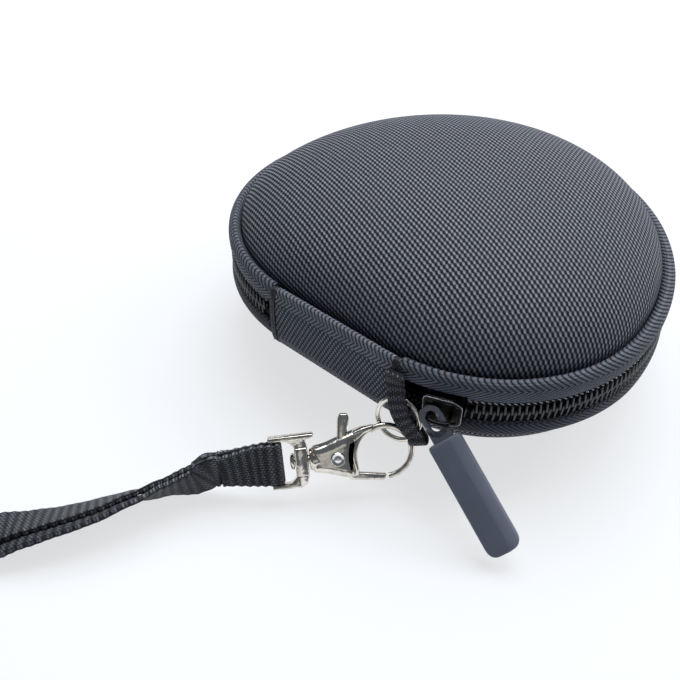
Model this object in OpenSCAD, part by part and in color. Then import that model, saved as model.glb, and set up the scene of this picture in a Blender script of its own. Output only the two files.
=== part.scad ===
// Moulded mouse case with a coil zip, a cloth hinge and a webbing wrist loop on a trigger hook.
// Millimetres. Z is up, X runs along the hinge, and the hinge side faces -Y.
// The origin is the middle of the base's rest face.

/* [Case] */
// Width across the rim, along the hinge
case_w = 119; // [112:1:126]
// Depth from the hinge to the front
case_d = 106.5; // [102:0.5:112]
// Height of the closed case
case_h = 46.6; // [42:0.2:50]
// Height of the zip's middle above the floor
zip_z = 22.5; // [21.5:0.5:25]
// Straight length of the rim at the hinge
flat_len = 32; // [28:1:36]
// Height of each cloth band, from the zip's middle to its rolled lip
band_h = 8.8; // [8.4:0.1:9.6]
// Depth of the crease behind the band's outer face
crease_in = 2.9; // [2.8:0.1:3.4]
// Fullness of the base's dome, higher is squarer
dome_full = 2.15; // [1.9:0.05:2.6]
// Fullness of the lid's dome
lid_full = 2.5; // [1.9:0.05:2.7]
// Share of the base's size that lies flat
rest_share = 0.5; // [0.35:0.05:0.6]
// Wall of the moulded shells
shell_t = 2.4; // [1.8:0.1:3]
// Thickness of the lining
lining_t = 0.6; // [0.4:0.1:0.9]
// Height of the seam binding inside each half
binding_h = 3.3; // [2.6:0.1:3.4]
// Thickness of the seam binding
binding_t = 0.8; // [0.6:0.1:1.1]

/* [Zip] */
// Pitch of the coil teeth
tooth_pitch = 1.6; // [1.4:0.1:2]
// Height of the closed coil
coil_h = 4.9; // [4.4:0.1:5.2]
// Depth of a tooth, from the face inwards
coil_t = 1.2; // [1:0.1:1.3]
// Depth of the coil's face behind the rim
coil_in = 0.35; // [0.3:0.05:0.45]
// How far a tooth reaches past the zip's middle
tooth_reach = 0.6; // [0.4:0.1:0.8]
// Thickness of the zip tape
tape_t = 0.7; // [0.5:0.1:0.8]

/* [Slider] */
// Length of the slider
slider_len = 9.2; // [8.8:0.2:10.4]
// Height of the slider
slider_h = 8; // [7.8:0.1:8.2]
// Thickness of the slider's outer plate
plate_t = 1.6; // [1.2:0.1:1.8]
// Thickness of the slider's inner plate
back_t = 1.1; // [0.9:0.1:1.3]
// Angle of the slider round the corner, from the hinge side
slider_at = 21.9; // [21:0.1:23.5]
// Clear height under the crown
crown_gap = 2.8; // [2.7:0.1:3]
// Thickness of the crown
crown_t = 0.8; // [0.7:0.1:1.1]
// Distance between the crown's legs
crown_len = 4.2; // [4:0.1:4.8]

/* [Pull] */
// Width of the metal link
link_w = 4.2; // [4:0.1:4.6]
// Thickness of the metal link
link_t = 0.7; // [0.6:0.05:0.75]
// Length of the link that shows, from the crown's leg to the grip
link_len = 5.6; // [5.2:0.1:7]
// Length of the rubber grip
grip_len = 26.5; // [24:0.5:26.5]
// Width of the rubber grip
grip_w = 7.7; // [6.4:0.1:8]
// Thickness of the rubber grip
grip_t = 3.8; // [3:0.1:4]

/* [Hinge cloth] */
// Half length of the hinge cloth
gusset_half = 18; // [16:0.5:19]
// How far its middle lies from the case's middle
gusset_shift = 1.5; // [0:0.1:2]
// How far the hinge cloth stands out of the rim
gusset_out = 0.5; // [0.2:0.1:0.6]
// Width of the binding strips at its ends
strip_w = 1.5; // [1:0.1:2]

/* [Ring and webbing] */
// Middle radius of the round ring
ring_r = 5.2; // [5.15:0.05:5.3]
// Radius of the ring's wire
ring_wire = 0.58; // [0.5:0.02:0.6]
// Width of the webbing that holds the ring
tab_w = 3.8; // [3.4:0.1:3.8]
// Thickness of the webbing that holds the ring
tab_t = 0.7; // [0.55:0.05:0.7]
// Width of the wrist strap
strap_w = 10; // [8.6:0.1:10]
// Thickness of the wrist strap
strap_t = 1.3; // [1:0.05:1.4]
// Length of the sewn end of the wrist strap, from the bail's bar
fold_len = 12.4; // [11:0.1:13]

/* [Trigger hook] */
// Middle radius of the hook's eye
eye_r = 6.1; // [6:0.05:6.3]
// Radius of the eye's wire
eye_wire = 0.68; // [0.6:0.02:0.7]
// Thickness of the hook's body
hook_t = 4.2; // [3.8:0.1:4.6]
// Distance from the eye's middle to the rivet
rivet_x = 11; // [10.8:0.1:11.4]
// Distance from the eye's middle to the body's end
body_end = 17.5; // [17:0.1:18]
// Radius of the lever's rivet
rivet_r = 0.9; // [0.7:0.05:1]
// Thickness of the lever
lever_t = 1.5; // [1.3:0.05:1.6]
// Radius of the swivel post
post_r = 1.1; // [0.9:0.05:1.2]
// Length of the bail's block along the post
block_len = 3; // [2.6:0.1:3.4]
// Thickness of the bail
bail_t = 2.4; // [2:0.1:2.8]
// Thickness of the bail's arms
arm_t = 1.1; // [0.9:0.05:1.3]
// Radius of the bail's bar
bar_r = 0.8; // [0.7:0.02:0.9]
// Distance from the eye's middle to the bail's bar
bar_x = 25.8; // [25.4:0.1:26.4]

/* [Fits] */
// Gap between neighbouring cloth and shell pieces
cloth_gap = 0.2; // [0.15:0.01:0.25]
// Radial running clearance of pins in their bores
run_gap = 0.05; // [0.03:0.01:0.08]
// Gap between meshed teeth
tooth_gap = 0.16; // [0.12:0.01:0.2]
// Gap beside moving hook pieces
side_gap = 0.15; // [0.1:0.01:0.2]

/* [Hidden] */

half_w = case_w / 2;
corner_r = half_w - flat_len / 2;
corner_y = corner_r - case_d / 2;
front_b = case_d - corner_r;
hinge_y = -case_d / 2;
edge_z = slider_h / 2 + 0.7;
dome_z = band_h - 0.6;
arc_len = corner_r * PI / 2;
front_len = PI * sqrt((half_w * half_w + front_b * front_b) / 2);
wall_in = crease_in + shell_t;
lining_in = wall_in + cloth_gap;
binding_in = lining_in + lining_t + cloth_gap;
coil_back = coil_in + coil_t;
tape_in = coil_back + 0.15;
zip_right = gusset_shift + gusset_half + strip_w + 0.3;
zip_left = gusset_half - gusset_shift + strip_w + 0.3;
slider_s = corner_r * slider_at * PI / 180;
post_s = slider_s - slider_len / 2 + 2.3;
slider_end_s = slider_s + slider_len / 2 + 0.4;

// A point of the rim, s mm round from the right end of the hinge flat, off mm inside the rim
function on_rim(s, off) =
    s < arc_len ? corner_pt(s / corner_r * 180 / PI, off, 1)
    : s > arc_len + front_len
        ? corner_pt((2 * arc_len + front_len - s) / corner_r * 180 / PI, off, -1)
    : front_pt(180 * (s - arc_len) / front_len, off);
function corner_pt(a, off, side) =
    [side * (flat_len / 2 + (corner_r - off) * sin(a)), corner_y - (corner_r - off) * cos(a)];
function front_pt(a, off) = [(half_w - off) * cos(a), corner_y + (front_b - off) * sin(a)];
// The rim seen from the hinge side: y at a given x
function hinge_pt(x, off) =
    abs(x) <= flat_len / 2 ? [x, hinge_y + off]
    : corner_pt(asin((abs(x) - flat_len / 2) / corner_r), off, sign(x));
// Distance round the rim to a given x on the hinge side, from the right and from the left
function s_at(x) = corner_r * asin(max(0, x - flat_len / 2) / corner_r) * PI / 180;

corner_n = 9;
front_n = 24;
flat_n = 4;
function rim_loop(off) = concat(
    [for (i = [0:corner_n - 1]) corner_pt(90 * i / corner_n, off, 1)],
    [for (i = [0:front_n - 1]) front_pt(180 * i / front_n, off)],
    [for (i = [0:corner_n - 1]) corner_pt(90 - 90 * i / corner_n, off, -1)],
    [for (i = [0:flat_n - 1]) [-flat_len / 2 + flat_len * i / flat_n, hinge_y + off]]
);
function ring_at(off, share, z) = [for (p = rim_loop(off)) [p[0] * share, p[1] * share, z]];

// Skins a list of equal rings and closes both ends
module loft(rings) {
    n = len(rings[0]);
    m = len(rings);
    points = [for (r = rings) for (p = r) p];
    sides = [for (i = [0:m - 2]) for (j = [0:n - 1]) for (k = [0:1])
        let (a = i * n + j, b = i * n + (j + 1) % n)
        k == 0 ? [a, b, b + n] : [a, b + n, a + n]];
    first = [for (j = [n - 1:-1:0]) j];
    last = [for (j = [0:n - 1]) (m - 1) * n + j];
    polyhedron(points, concat([first], sides, [last]), convexity = 8);
}

dome_shares = [0.12, 0.3, 0.48, 0.64, 0.78, 0.88, 0.945, 0.98, 1];
// Height of a dome at a share of its size, flat inside the share called flat
function rise(k, h, full) = k < 0.15 ? h : h * pow(1 - pow(k, full), 1 / 1.9);

// One half's skin, its outer face off mm inside the rim, t thick, h high over the zip's middle,
// through dome rings at every step of the shares
module half_skin(off, h, t, edge, flat, step, full) {
    m = len(dome_shares);
    shares = [for (i = [0:step:m - 1]) dome_shares[i]];
    outer = [for (k = shares)
        ring_at(off, flat + (1 - flat) * k, dome_z + rise(k, h - dome_z, full))];
    inner = [for (i = [len(shares) - 1:-1:0])
        ring_at(off + t, flat + (1 - flat) * shares[i],
            dome_z + rise(shares[i], h - t - dome_z, full))];
    loft(concat(outer, [ring_at(off, 1, edge)], [ring_at(off + t, 1, edge)], inner));
}

// Puts its children on the zip's middle plane, upright for the lid and turned over for the base
module lid_side() {
    translate([0, 0, zip_z]) children();
}
module base_side() {
    translate([0, 0, zip_z]) mirror([0, 0, 1]) children();
}

module top_shell() {
    color([0.16, 0.17, 0.19])
        lid_side() half_skin(crease_in, case_h - zip_z, shell_t, edge_z, 0, 1, lid_full);
}
module bottom_shell() {
    color([0.16, 0.17, 0.19])
        base_side() half_skin(crease_in, zip_z, shell_t, edge_z, rest_share, 1, dome_full);
}
module top_lining() {
    color([0.2, 0.2, 0.21])
        lid_side() half_skin(lining_in, case_h - zip_z - shell_t - cloth_gap, lining_t,
            edge_z + 0.3, 0, 2, lid_full);
}
module bottom_lining() {
    color([0.2, 0.2, 0.21])
        base_side() half_skin(lining_in, zip_z - shell_t - cloth_gap, lining_t,
            edge_z + 0.3, rest_share, 2, dome_full);
}
module binding() {
    translate([0, 0, edge_z]) linear_extrude(binding_h) difference() {
        polygon(rim_loop(binding_in));
        polygon(rim_loop(binding_in + binding_t));
    }
}
module top_binding() {
    color([0.13, 0.13, 0.14]) lid_side() binding();
}
module bottom_binding() {
    color([0.13, 0.13, 0.14]) base_side() binding();
}

// Section of a cloth band and its zip tape: distance inside the rim, height over the zip's middle
tape_back = tape_in + tape_t;
band_back = crease_in - cloth_gap;
tape_profile = [
    [tape_back, 0.9], [tape_in, 0.9], [tape_in - 0.05, 3.6], [1.2, 4.6], [0.35, 5.3],
    [0, 6.3], [0, band_h - 1.2], [0.45, band_h - 0.35], [1.3, band_h], [2.2, band_h - 0.3],
    [band_back, band_h - 0.9], [band_back, 5.4], [tape_back, 4.6]
];
tape_stations = 66;
// The tape's inner flange starts past the slider on the lid, and past its post on the base
module zip_tape(flange_from) {
    first = s_at(zip_right);
    last = 2 * arc_len + front_len - s_at(zip_left);
    flange_end = last - 1.5;
    steps = [for (i = [0:tape_stations]) first + (last - first) * i / tape_stations];
    stations = concat(
        [for (s = steps) if (s < flange_from - 0.5) [s, 0]],
        [[flange_from - 0.01, 0], [flange_from, 1]],
        [for (s = steps) if (s > flange_from + 0.5 && s < flange_end - 0.5) [s, 1]],
        [[flange_end, 1], [flange_end + 0.01, 0], [last, 0]]
    );
    low = edge_z - 0.25;
    loft([for (t = stations) [for (q = tape_profile)
        let (p = on_rim(t[0], q[0])) [p[0], p[1], t[1] == 1 ? q[1] : max(q[1], low + q[0] * 0.02)]]]);
}
module top_zip_tape() {
    color([0.15, 0.155, 0.17]) lid_side() zip_tape(slider_end_s);
}
module bottom_zip_tape() {
    color([0.15, 0.155, 0.17]) base_side() zip_tape(post_s);
}

// One row of coil teeth as a toothed strip, each tooth a point that meets a gap of the other row
module zip_teeth(from, side) {
    last = 2 * arc_len + front_len - s_at(zip_left) - 2;
    half = tooth_pitch / 2;
    first_k = ceil(from / half);
    last_k = floor(last / half);
    loft([for (k = [first_k:last_k])
        let (
            s = k * half,
            tooth = (k % 2 == 0) == (side == 1),
            low = tooth ? -tooth_reach + tooth_gap / 2 : tooth_reach + tooth_gap / 2,
            face = tooth ? coil_in : coil_in + 0.4,
            a = on_rim(s, face),
            b = on_rim(s, coil_back)
        )
        [[b[0], b[1], low], [a[0], a[1], low], [a[0], a[1], coil_h / 2 - 0.15],
         [b[0], b[1], coil_h / 2]]]);
}
module top_zip_teeth() {
    color([0.05, 0.05, 0.055]) lid_side() zip_teeth(slider_end_s, 1);
}
module bottom_zip_teeth() {
    color([0.05, 0.05, 0.055]) base_side() zip_teeth(post_s, -1);
}

// Hinge cloth: one strip from lip to lip over the hinge side
gusset_l = gusset_shift - gusset_half;
gusset_r = gusset_shift + gusset_half;
cloth_profile = [
    [band_back, -band_h + 0.9], [2.2, -band_h + 0.3], [1.3, -band_h], [0.3, -band_h + 0.6],
    [-gusset_out * 0.6, -band_h + 2.6], [-gusset_out, -3], [-gusset_out, 3],
    [-gusset_out * 0.6, band_h - 2.6], [0.3, band_h - 0.6], [1.3, band_h], [2.2, band_h - 0.3],
    [band_back, band_h - 0.9]
];
module hinge_cloth() {
    steps = 12;
    color([0.12, 0.125, 0.135]) lid_side()
        loft([for (i = [0:steps])
            let (x = gusset_l + (gusset_r - gusset_l) * i / steps)
            [for (q = cloth_profile) let (p = hinge_pt(x, q[0])) [p[0], p[1], q[1]]]]);
}
// Binding strips sewn over the joins between the hinge cloth and the zip tapes
module hinge_strips() {
    color([0.1, 0.1, 0.11]) lid_side() for (x0 = [gusset_l - strip_w - 0.15, gusset_r + 0.15])
        loft([for (x = [x0, x0 + strip_w / 2, x0 + strip_w])
            [for (q = cloth_profile)
                let (p = hinge_pt(x, q[0] < 2 ? q[0] - 0.25 : q[0])) [p[0], p[1], q[1]]]]);
}

// Slider frame: X along the zip, Y inwards, Z up, from the rim at the slider's middle
module slider_frame() {
    translate([flat_len / 2, corner_y, zip_z]) rotate([0, 0, slider_at])
        translate([0, -corner_r, 0]) children();
}
module plate_shape(len, h_front, h_back) {
    polygon([
        [-len / 2 + 0.8, h_front / 2], [-len / 2, h_front / 2 - 0.8],
        [-len / 2, -h_front / 2 + 0.8], [-len / 2 + 0.8, -h_front / 2],
        [len / 2 - 0.9, -h_back / 2], [len / 2, -h_back / 2 + 0.9],
        [len / 2, h_back / 2 - 0.9], [len / 2 - 0.9, h_back / 2]
    ]);
}
slot_y = 2.95;
module slider_body() {
    color([0.03, 0.03, 0.035]) slider_frame() {
        rotate([90, 0, 0]) {
            linear_extrude(plate_t) plate_shape(slider_len, slider_h, slider_h * 0.84);
            translate([0, 0, -1.3]) linear_extrude(1.3) difference() {
                plate_shape(slider_len, slider_h, slider_h * 0.84);
                square([slider_len + 2, slider_h * 0.84 - 1.5], center = true);
            }
            translate([0, 0, -slot_y - back_t]) linear_extrude(back_t)
                plate_shape(slider_len - 0.4, slider_h - 0.6, slider_h * 0.84 - 0.6);
            translate([0, 0, -slot_y]) linear_extrude(slot_y) polygon([
                [-slider_len / 2 + 0.3, 0], [-slider_len / 2 + 1.1, 0.7],
                [-slider_len / 2 + 2, 0], [-slider_len / 2 + 1.1, -0.7]
            ]);
        }
    }
}
module slider_crown() {
    top = plate_t + crown_gap;
    color([0.03, 0.03, 0.035]) slider_frame() {
        for (x = [-crown_len / 2, crown_len / 2])
            translate([x, -plate_t, 0]) rotate([90, 0, 0])
                cylinder(h = crown_gap, r = crown_t / 2 + 0.05, $fn = 24);
        translate([-crown_len / 2 - crown_t / 2 - 0.05, -top - crown_t, -crown_t / 2 - 0.1])
            cube([crown_len + crown_t + 0.1, crown_t, crown_t + 0.2]);
    }
}

// Pull frame: X down the pull, Y across it, Z out of its face, from the crown's rear leg
pull_x = [0.681, -0.481, -0.552] / norm([0.681, -0.481, -0.552]);
pull_y_raw = [0.732, 0.422, 0.535];
pull_y_flat = pull_y_raw - (pull_y_raw * pull_x) * pull_x;
pull_y = pull_y_flat / norm(pull_y_flat);
pull_z = cross(pull_x, pull_y);
module axes_frame(p, x, y, z) {
    multmatrix([
        [x[0], y[0], z[0], p[0]], [x[1], y[1], z[1], p[1]], [x[2], y[2], z[2], p[2]], [0, 0, 0, 1]
    ]) children();
}
module pull_frame() {
    slider_frame()
        axes_frame([-crown_len / 2, -plate_t - 0.6 * crown_gap, 0], pull_x, pull_y, pull_z)
        children();
}
link_wall = 0.7;
link_back = -0.95;
link_hole = 3.4;
module link_outline(grow) {
    r = link_w / 2 + grow;
    translate([link_back - link_wall + link_w / 2, 0]) circle(r = r, $fn = 48);
    translate([link_back - link_wall + link_w / 2, -r])
        square([link_len + 4 - (link_back - link_wall + link_w / 2) + grow, 2 * r]);
}
module pull_link() {
    hole_r = link_w / 2 - link_wall;
    color([0.42, 0.42, 0.44]) pull_frame() translate([0, 0, -link_t / 2])
        linear_extrude(link_t) difference() {
            link_outline(0);
            translate([link_back + hole_r, 0]) circle(r = hole_r, $fn = 48);
            translate([link_back + hole_r, -hole_r]) square([link_hole, 2 * hole_r]);
            translate([link_back + hole_r + link_hole, 0]) circle(r = hole_r, $fn = 48);
        }
}
module pull_grip() {
    x1 = link_len + grip_len;
    color([0.3, 0.31, 0.33]) pull_frame() difference() {
        hull() {
            for (y = [-1, 1]) for (z = [-1, 1]) {
                translate([link_len + 0.6, y * (grip_w / 2 - 0.9), z * (grip_t / 2 - 0.8)])
                    rotate([0, 90, 0]) cylinder(h = 0.1, r = 0.8, center = true, $fn = 16);
                translate([link_len + 0.1, y * (grip_w / 2 - 1.2), z * (grip_t / 2 - 1.1)])
                    rotate([0, 90, 0]) cylinder(h = 0.1, r = 0.6, center = true, $fn = 16);
                translate([x1 - 2.4, y * (grip_w / 2 - 0.4), z * (grip_t / 2 - 0.8)])
                    sphere(r = 0.8, $fn = 16);
                translate([x1 - 0.8, y * (grip_w / 2 - 2.2), z * (grip_t / 2 - 1)])
                    sphere(r = 0.8, $fn = 16);
            }
        }
        translate([0, 0, -link_t / 2 - 0.02]) linear_extrude(link_t + 0.04) link_outline(0.02);
    }
}

// Ring frame: Z through the ring, X level, Y up its face
ring_c = [24.4, -56, 17.9];
ring_z = [0.203, -0.921, 0.332] / norm([0.203, -0.921, 0.332]);
ring_x = cross(ring_z, [0, 0, 1]) / norm(cross(ring_z, [0, 0, 1])) * -1;
ring_y = cross(ring_z, ring_x);
ring_place = ring_c + [0, hinge_y + 53.25, zip_z - 22.5];
module loop_ring() {
    color([0.75, 0.74, 0.71])
        axes_frame(ring_place, ring_x, ring_y, ring_z)
        rotate_extrude($fn = 96) translate([ring_r, 0]) circle(r = ring_wire, $fn = 32);
}

// A flat ribbon through points, each with the direction of its width
module ribbon(points, sides, w, t) {
    n = len(points);
    tangents = [for (i = [0:n - 1])
        let (d = points[min(i + 1, n - 1)] - points[max(i - 1, 0)]) d / norm(d)];
    loft([for (i = [0:n - 1])
        let (
            flat = sides[i] - (sides[i] * tangents[i]) * tangents[i],
            a = flat / norm(flat),
            b = cross(tangents[i], a)
        )
        [for (q = [[-1, -0.5], [-1, 0.5], [-0.94, 1], [0.94, 1], [1, 0.5], [1, -0.5],
                   [0.94, -1], [-0.94, -1]])
            points[i] + a * (q[0] * w / 2) + b * (q[1] * t / 2)]]);
}

// Webbing tab, in the ring's plane: T down the tab, W across it. Both layers pass in front of the
// ring's upper wire, and the rear one goes back through the ring and under its lower wire.
tab_lean = 27.2;
tab_down = sin(tab_lean) * ring_x - cos(tab_lean) * ring_y;
tab_side = cos(tab_lean) * ring_x + sin(tab_lean) * ring_y;
tab_lay = ring_wire + 0.22 + tab_t / 2;
tab_fold = 5.35;
tab_shift = 3.6;
tab_mid = 1.6;
tab_top = [gusset_r + 2.1, hinge_pt(gusset_r + 2.1, 0)[1] - 0.95, zip_z + 6.7];
function tab_across(t) = t < -1 ? tab_mid : tab_mid
    + (tab_shift - tab_mid) * pow(min(1, (t + 1) / 5), 1.3);
function tab_pt(t, n) = ring_place + t * tab_down + tab_across(t) * tab_side + n * ring_z;
module ring_webbing() {
    level = [1, 0.08, 0];
    step = tab_t * 1.1;
    front = [0, -step, 0];
    points = concat(
        [tab_top + front, tab_top + front + [0.3, -0.25, -3]],
        [tab_pt(-4.2, tab_lay + step), tab_pt(-2, tab_lay + step), tab_pt(1, tab_lay + 0.5),
         tab_pt(4, tab_lay)],
        [for (a = [70:-30:-80])
            tab_pt(tab_fold, 0) + tab_lay * (cos(a) * tab_down + sin(a) * ring_z)],
        [tab_pt(3.4, -tab_lay), tab_pt(1.8, -tab_lay * 0.85), tab_pt(0, 0),
         tab_pt(-1.8, tab_lay * 0.85), tab_pt(-4.2, tab_lay)],
        [tab_top + [0.3, -0.2, -3], tab_top]
    );
    n = len(points);
    sides = [for (i = [0:n - 1]) i < 2 || i > n - 3 ? level : tab_side];
    color([0.09, 0.09, 0.1]) ribbon(points, sides, tab_w, tab_t);
}

// Hook frame: X from the eye's middle to the bail, Z out of its face
eye_c = [24.44, -60.41, 10.53];
hook_x = [-0.687, -0.724, -0.065] / norm([-0.687, -0.724, -0.065]);
hook_z_raw = [0.588, -0.606, 0.536];
hook_z_flat = hook_z_raw - (hook_z_raw * hook_x) * hook_x;
hook_z = hook_z_flat / norm(hook_z_flat);
hook_y = cross(hook_z, hook_x);
eye_place = eye_c + [0, hinge_y + 53.25, 0];
module hook_frame() {
    axes_frame(eye_place, hook_x, hook_y, hook_z) children();
}
slot_h = lever_t + 2 * side_gap;
gate_reach = 12.3;
module hook_outline() {
    polygon([
        [2.6, -6.95], [5, -6.4], [8.6, -5], [body_end - 3.4, -3.1], [body_end, -2.8],
        [body_end, 2.8], [body_end - 3.4, 3.3], [8.8, 4.9], [7.2, 4.9], [6.9, 3.2],
        [7.4, 0], [6.6, -3.2], [4.4, -5.2], [2.6, -5.6]
    ]);
}
module hook_body() {
    color([0.72, 0.72, 0.72]) hook_frame() difference() {
        union() {
            translate([0, 0, -hook_t / 2]) linear_extrude(hook_t) intersection() {
                hook_outline();
                translate([6.2, -10]) square([20, 20]);
            }
            translate([0, 0, -1.3]) linear_extrude(2.6) intersection() {
                hook_outline();
                translate([-1, -10]) square([7.3, 20]);
            }
            rotate([0, 0, 86]) rotate_extrude(angle = 214, $fn = 96)
                translate([eye_r, 0]) circle(r = eye_wire, $fn = 32);
            translate([body_end - 2.4, 0, 0]) rotate([0, 90, 0])
                cylinder(h = 2.4, r = 2.6, $fn = 48);
        }
        // The eye's end follows the arc that the gate's tip swings on
        intersection() {
            translate([rivet_x, 0, -2]) cylinder(h = 4, r = gate_reach + 0.2, $fn = 96);
            translate([-1.5, 4.6, -2]) cube([3.5, 4, 4]);
        }
        translate([6.4, -20, -slot_h / 2]) cube([body_end - 3 - 6.4, 40, slot_h]);
        translate([rivet_x, 0, -10]) cylinder(h = 20, r = rivet_r + run_gap, $fn = 32);
        translate([body_end - 2.6, 0, 0]) rotate([0, 90, 0])
            cylinder(h = 4, r = post_r + run_gap, $fn = 32);
    }
}
// Lever: thumb piece on one side of the rivet, gate on the other
module hook_lever() {
    color([0.68, 0.68, 0.68]) hook_frame() difference() {
        translate([0, 0, -lever_t / 2]) linear_extrude(lever_t) {
            polygon([
                [rivet_x - 0.4, -2], [9.6, -8.9], [10.6, -9.6], [11.8, -9.2], [11.4, -8],
                [rivet_x + 1.9, -1], [rivet_x + 1.7, 1.6], [rivet_x - 1, 2.4], [8.6, 5.9],
                [0.98, 6.93], [0.66, 6.66], [0.3, 6.05], [0.02, 5.4], [7, 4.4], [8.4, 1.6]
            ]);
        }
        translate([rivet_x, 0, -5]) cylinder(h = 10, r = rivet_r + run_gap, $fn = 32);
    }
}
module lever_rivet() {
    color([0.8, 0.8, 0.78]) hook_frame() {
        translate([rivet_x, 0, -hook_t / 2]) cylinder(h = hook_t, r = rivet_r, $fn = 32);
        for (z = [hook_t / 2, -hook_t / 2 - 0.5])
            translate([rivet_x, 0, z]) cylinder(h = 0.5, r = rivet_r + 0.8, $fn = 32);
    }
}
// Small coil that pushes the lever's thumb side out, in the body's slot
spring_r = 0.45;
module lever_spring() {
    turns = 5;
    per = 8;
    wire = 0.1;
    len = 1.5;
    color([0.6, 0.6, 0.6]) hook_frame() translate([rivet_x + 2.35, -1.9, 0]) rotate([90, 0, 0])
        translate([0, 0, -len / 2]) loft([for (i = [0:turns * per])
            let (
                a = 360 * i / per,
                c = [spring_r * cos(a), spring_r * sin(a), len * i / (turns * per)],
                u = [cos(a), sin(a), 0]
            )
            [for (b = [0, 120, 240]) c + wire * (cos(b) * u - sin(b) * [0, 0, 1])]]);
}
post_head_x = body_end + 0.3 + block_len + 0.2;
module swivel_post() {
    color([0.8, 0.8, 0.78]) hook_frame() {
        translate([body_end - 2.6, 0, 0]) rotate([0, 90, 0])
            cylinder(h = post_head_x - body_end + 2.6, r = post_r, $fn = 32);
        translate([post_head_x, 0, 0]) rotate([0, 90, 0])
            cylinder(h = 0.9, r = post_r + 0.9, $fn = 32);
    }
}
bail_in = strap_w / 2 + 0.15;
module strap_bail() {
    x0 = body_end + 0.3;
    x1 = x0 + block_len;
    out = bail_in + arm_t;
    color([0.74, 0.74, 0.74]) hook_frame() difference() {
        union() {
            translate([x0, -3.4, -1.9]) cube([block_len, 6.8, 3.8]);
            translate([0, 0, -bail_t / 2]) linear_extrude(bail_t) difference() {
                polygon([
                    [x0, -3.4], [x1, -out + 0.9], [x1 + 1.2, -out], [bar_x + 0.9, -out],
                    [bar_x + 0.9, out], [x1 + 1.2, out], [x1, out - 0.9], [x0, 3.4]
                ]);
                polygon([
                    [x1 - 0.01, -3.6], [x1 + 1.5, -bail_in], [bar_x + 5, -bail_in],
                    [bar_x + 5, bail_in], [x1 + 1.5, bail_in], [x1 - 0.01, 3.6]
                ]);
            }
            translate([bar_x, -bail_in - 0.5, 0]) rotate([-90, 0, 0])
                cylinder(h = 2 * bail_in + 1, r = bar_r, $fn = 32);
        }
        translate([x0 - 1, 0, 0]) rotate([0, 90, 0])
            cylinder(h = block_len + 2, r = post_r + run_gap, $fn = 32);
    }
}

// Sewn end of the strap: round the bail's bar and doubled back
fold_in = bar_r + 0.15;
module strap_fold() {
    out = fold_in + strap_t;
    color([0.08, 0.08, 0.09]) hook_frame() translate([bar_x, strap_w / 2, 0])
        rotate([90, 0, 0]) linear_extrude(strap_w) difference() {
            polygon(concat(
                [[fold_len, -strap_t], [fold_len, strap_t], [2.6, strap_t]],
                [for (a = [60:15:300]) [out * cos(a), out * sin(a)]],
                [[2.6, -strap_t]]
            ));
            circle(r = fold_in, $fn = 48);
        }
}
// Wrist strap: its free loop of webbing, laid on the floor
function hook_pt(x, z) = eye_place + hook_x * x + hook_z * z;
fold_x = bar_x + fold_len;
strap_route = [
    hook_pt(fold_x + 0.02, 0.68), hook_pt(fold_x + 2.2, 0.72),
    [-7, -93.4, 5.3], [-10.6, -98.6, 5], [-13.6, -105, 5.1],
    [-16.2, -112, 5], [-19.4, -118.8, 5.1], [-22.6, -124.8, 5.1], [-26.6, -131, 5.1],
    [-36.8, -143, 5.1], [-45.4, -155.4, 5.1], [-53.4, -169, 5.1], [-64.8, -181, 5.1],
    [-79.6, -185.4, 5.1], [-93.4, -180.6, 5.1], [-101, -168, 5.1], [-100.4, -153.6, 5.1],
    [-90, -142, 5.1], [-75, -136.6, 5.1], [-58.6, -135.6, 5.1], [-43.6, -134.4, 5.1],
    [-32.6, -129, 5.1], [-27.2, -122.4, 5.1], [-23.4, -115.2, 5.1], [-20.4, -108, 5.1],
    [-17.4, -101.2, 5.1], [-13.4, -95.4, 5], [-9, -91.8, 5.4],
    hook_pt(fold_x + 2.2, -0.72), hook_pt(fold_x + 0.02, -0.68)
];
module wrist_strap() {
    n = len(strap_route);
    up = [0, 0, 1];
    sides = [for (i = [0:n - 1])
        let (k = min(i, n - 1 - i)) k < 2 ? -hook_y : k == 2 ? -hook_y + 0.7 * up : up];
    color([0.08, 0.08, 0.09]) ribbon(strap_route, sides, strap_w, strap_t);
}

top_shell();
top_lining();
top_binding();
top_zip_tape();
top_zip_teeth();
bottom_shell();
bottom_lining();
bottom_binding();
bottom_zip_tape();
bottom_zip_teeth();
hinge_cloth();
hinge_strips();
ring_webbing();
slider_body();
slider_crown();
pull_link();
pull_grip();
loop_ring();
hook_body();
hook_lever();
lever_rivet();
lever_spring();
swivel_post();
strap_bail();
strap_fold();
wrist_strap();
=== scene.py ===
import math
import bpy
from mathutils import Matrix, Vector, noise


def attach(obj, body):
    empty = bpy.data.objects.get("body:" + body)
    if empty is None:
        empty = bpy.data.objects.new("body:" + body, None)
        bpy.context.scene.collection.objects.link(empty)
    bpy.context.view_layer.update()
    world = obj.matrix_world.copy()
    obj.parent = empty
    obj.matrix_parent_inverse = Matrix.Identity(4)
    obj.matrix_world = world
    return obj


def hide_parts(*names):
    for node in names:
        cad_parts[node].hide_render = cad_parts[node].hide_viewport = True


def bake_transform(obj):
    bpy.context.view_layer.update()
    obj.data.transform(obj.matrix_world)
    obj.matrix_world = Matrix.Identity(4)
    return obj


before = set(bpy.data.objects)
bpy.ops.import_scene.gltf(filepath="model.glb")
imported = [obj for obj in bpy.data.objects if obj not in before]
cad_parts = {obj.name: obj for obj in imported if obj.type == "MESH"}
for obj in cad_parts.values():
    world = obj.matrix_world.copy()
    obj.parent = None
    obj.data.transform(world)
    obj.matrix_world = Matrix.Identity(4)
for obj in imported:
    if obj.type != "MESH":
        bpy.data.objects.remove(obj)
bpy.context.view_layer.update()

mm = 0.001


def vec(*p):
    return Vector(p[0] if len(p) == 1 else p)


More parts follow.
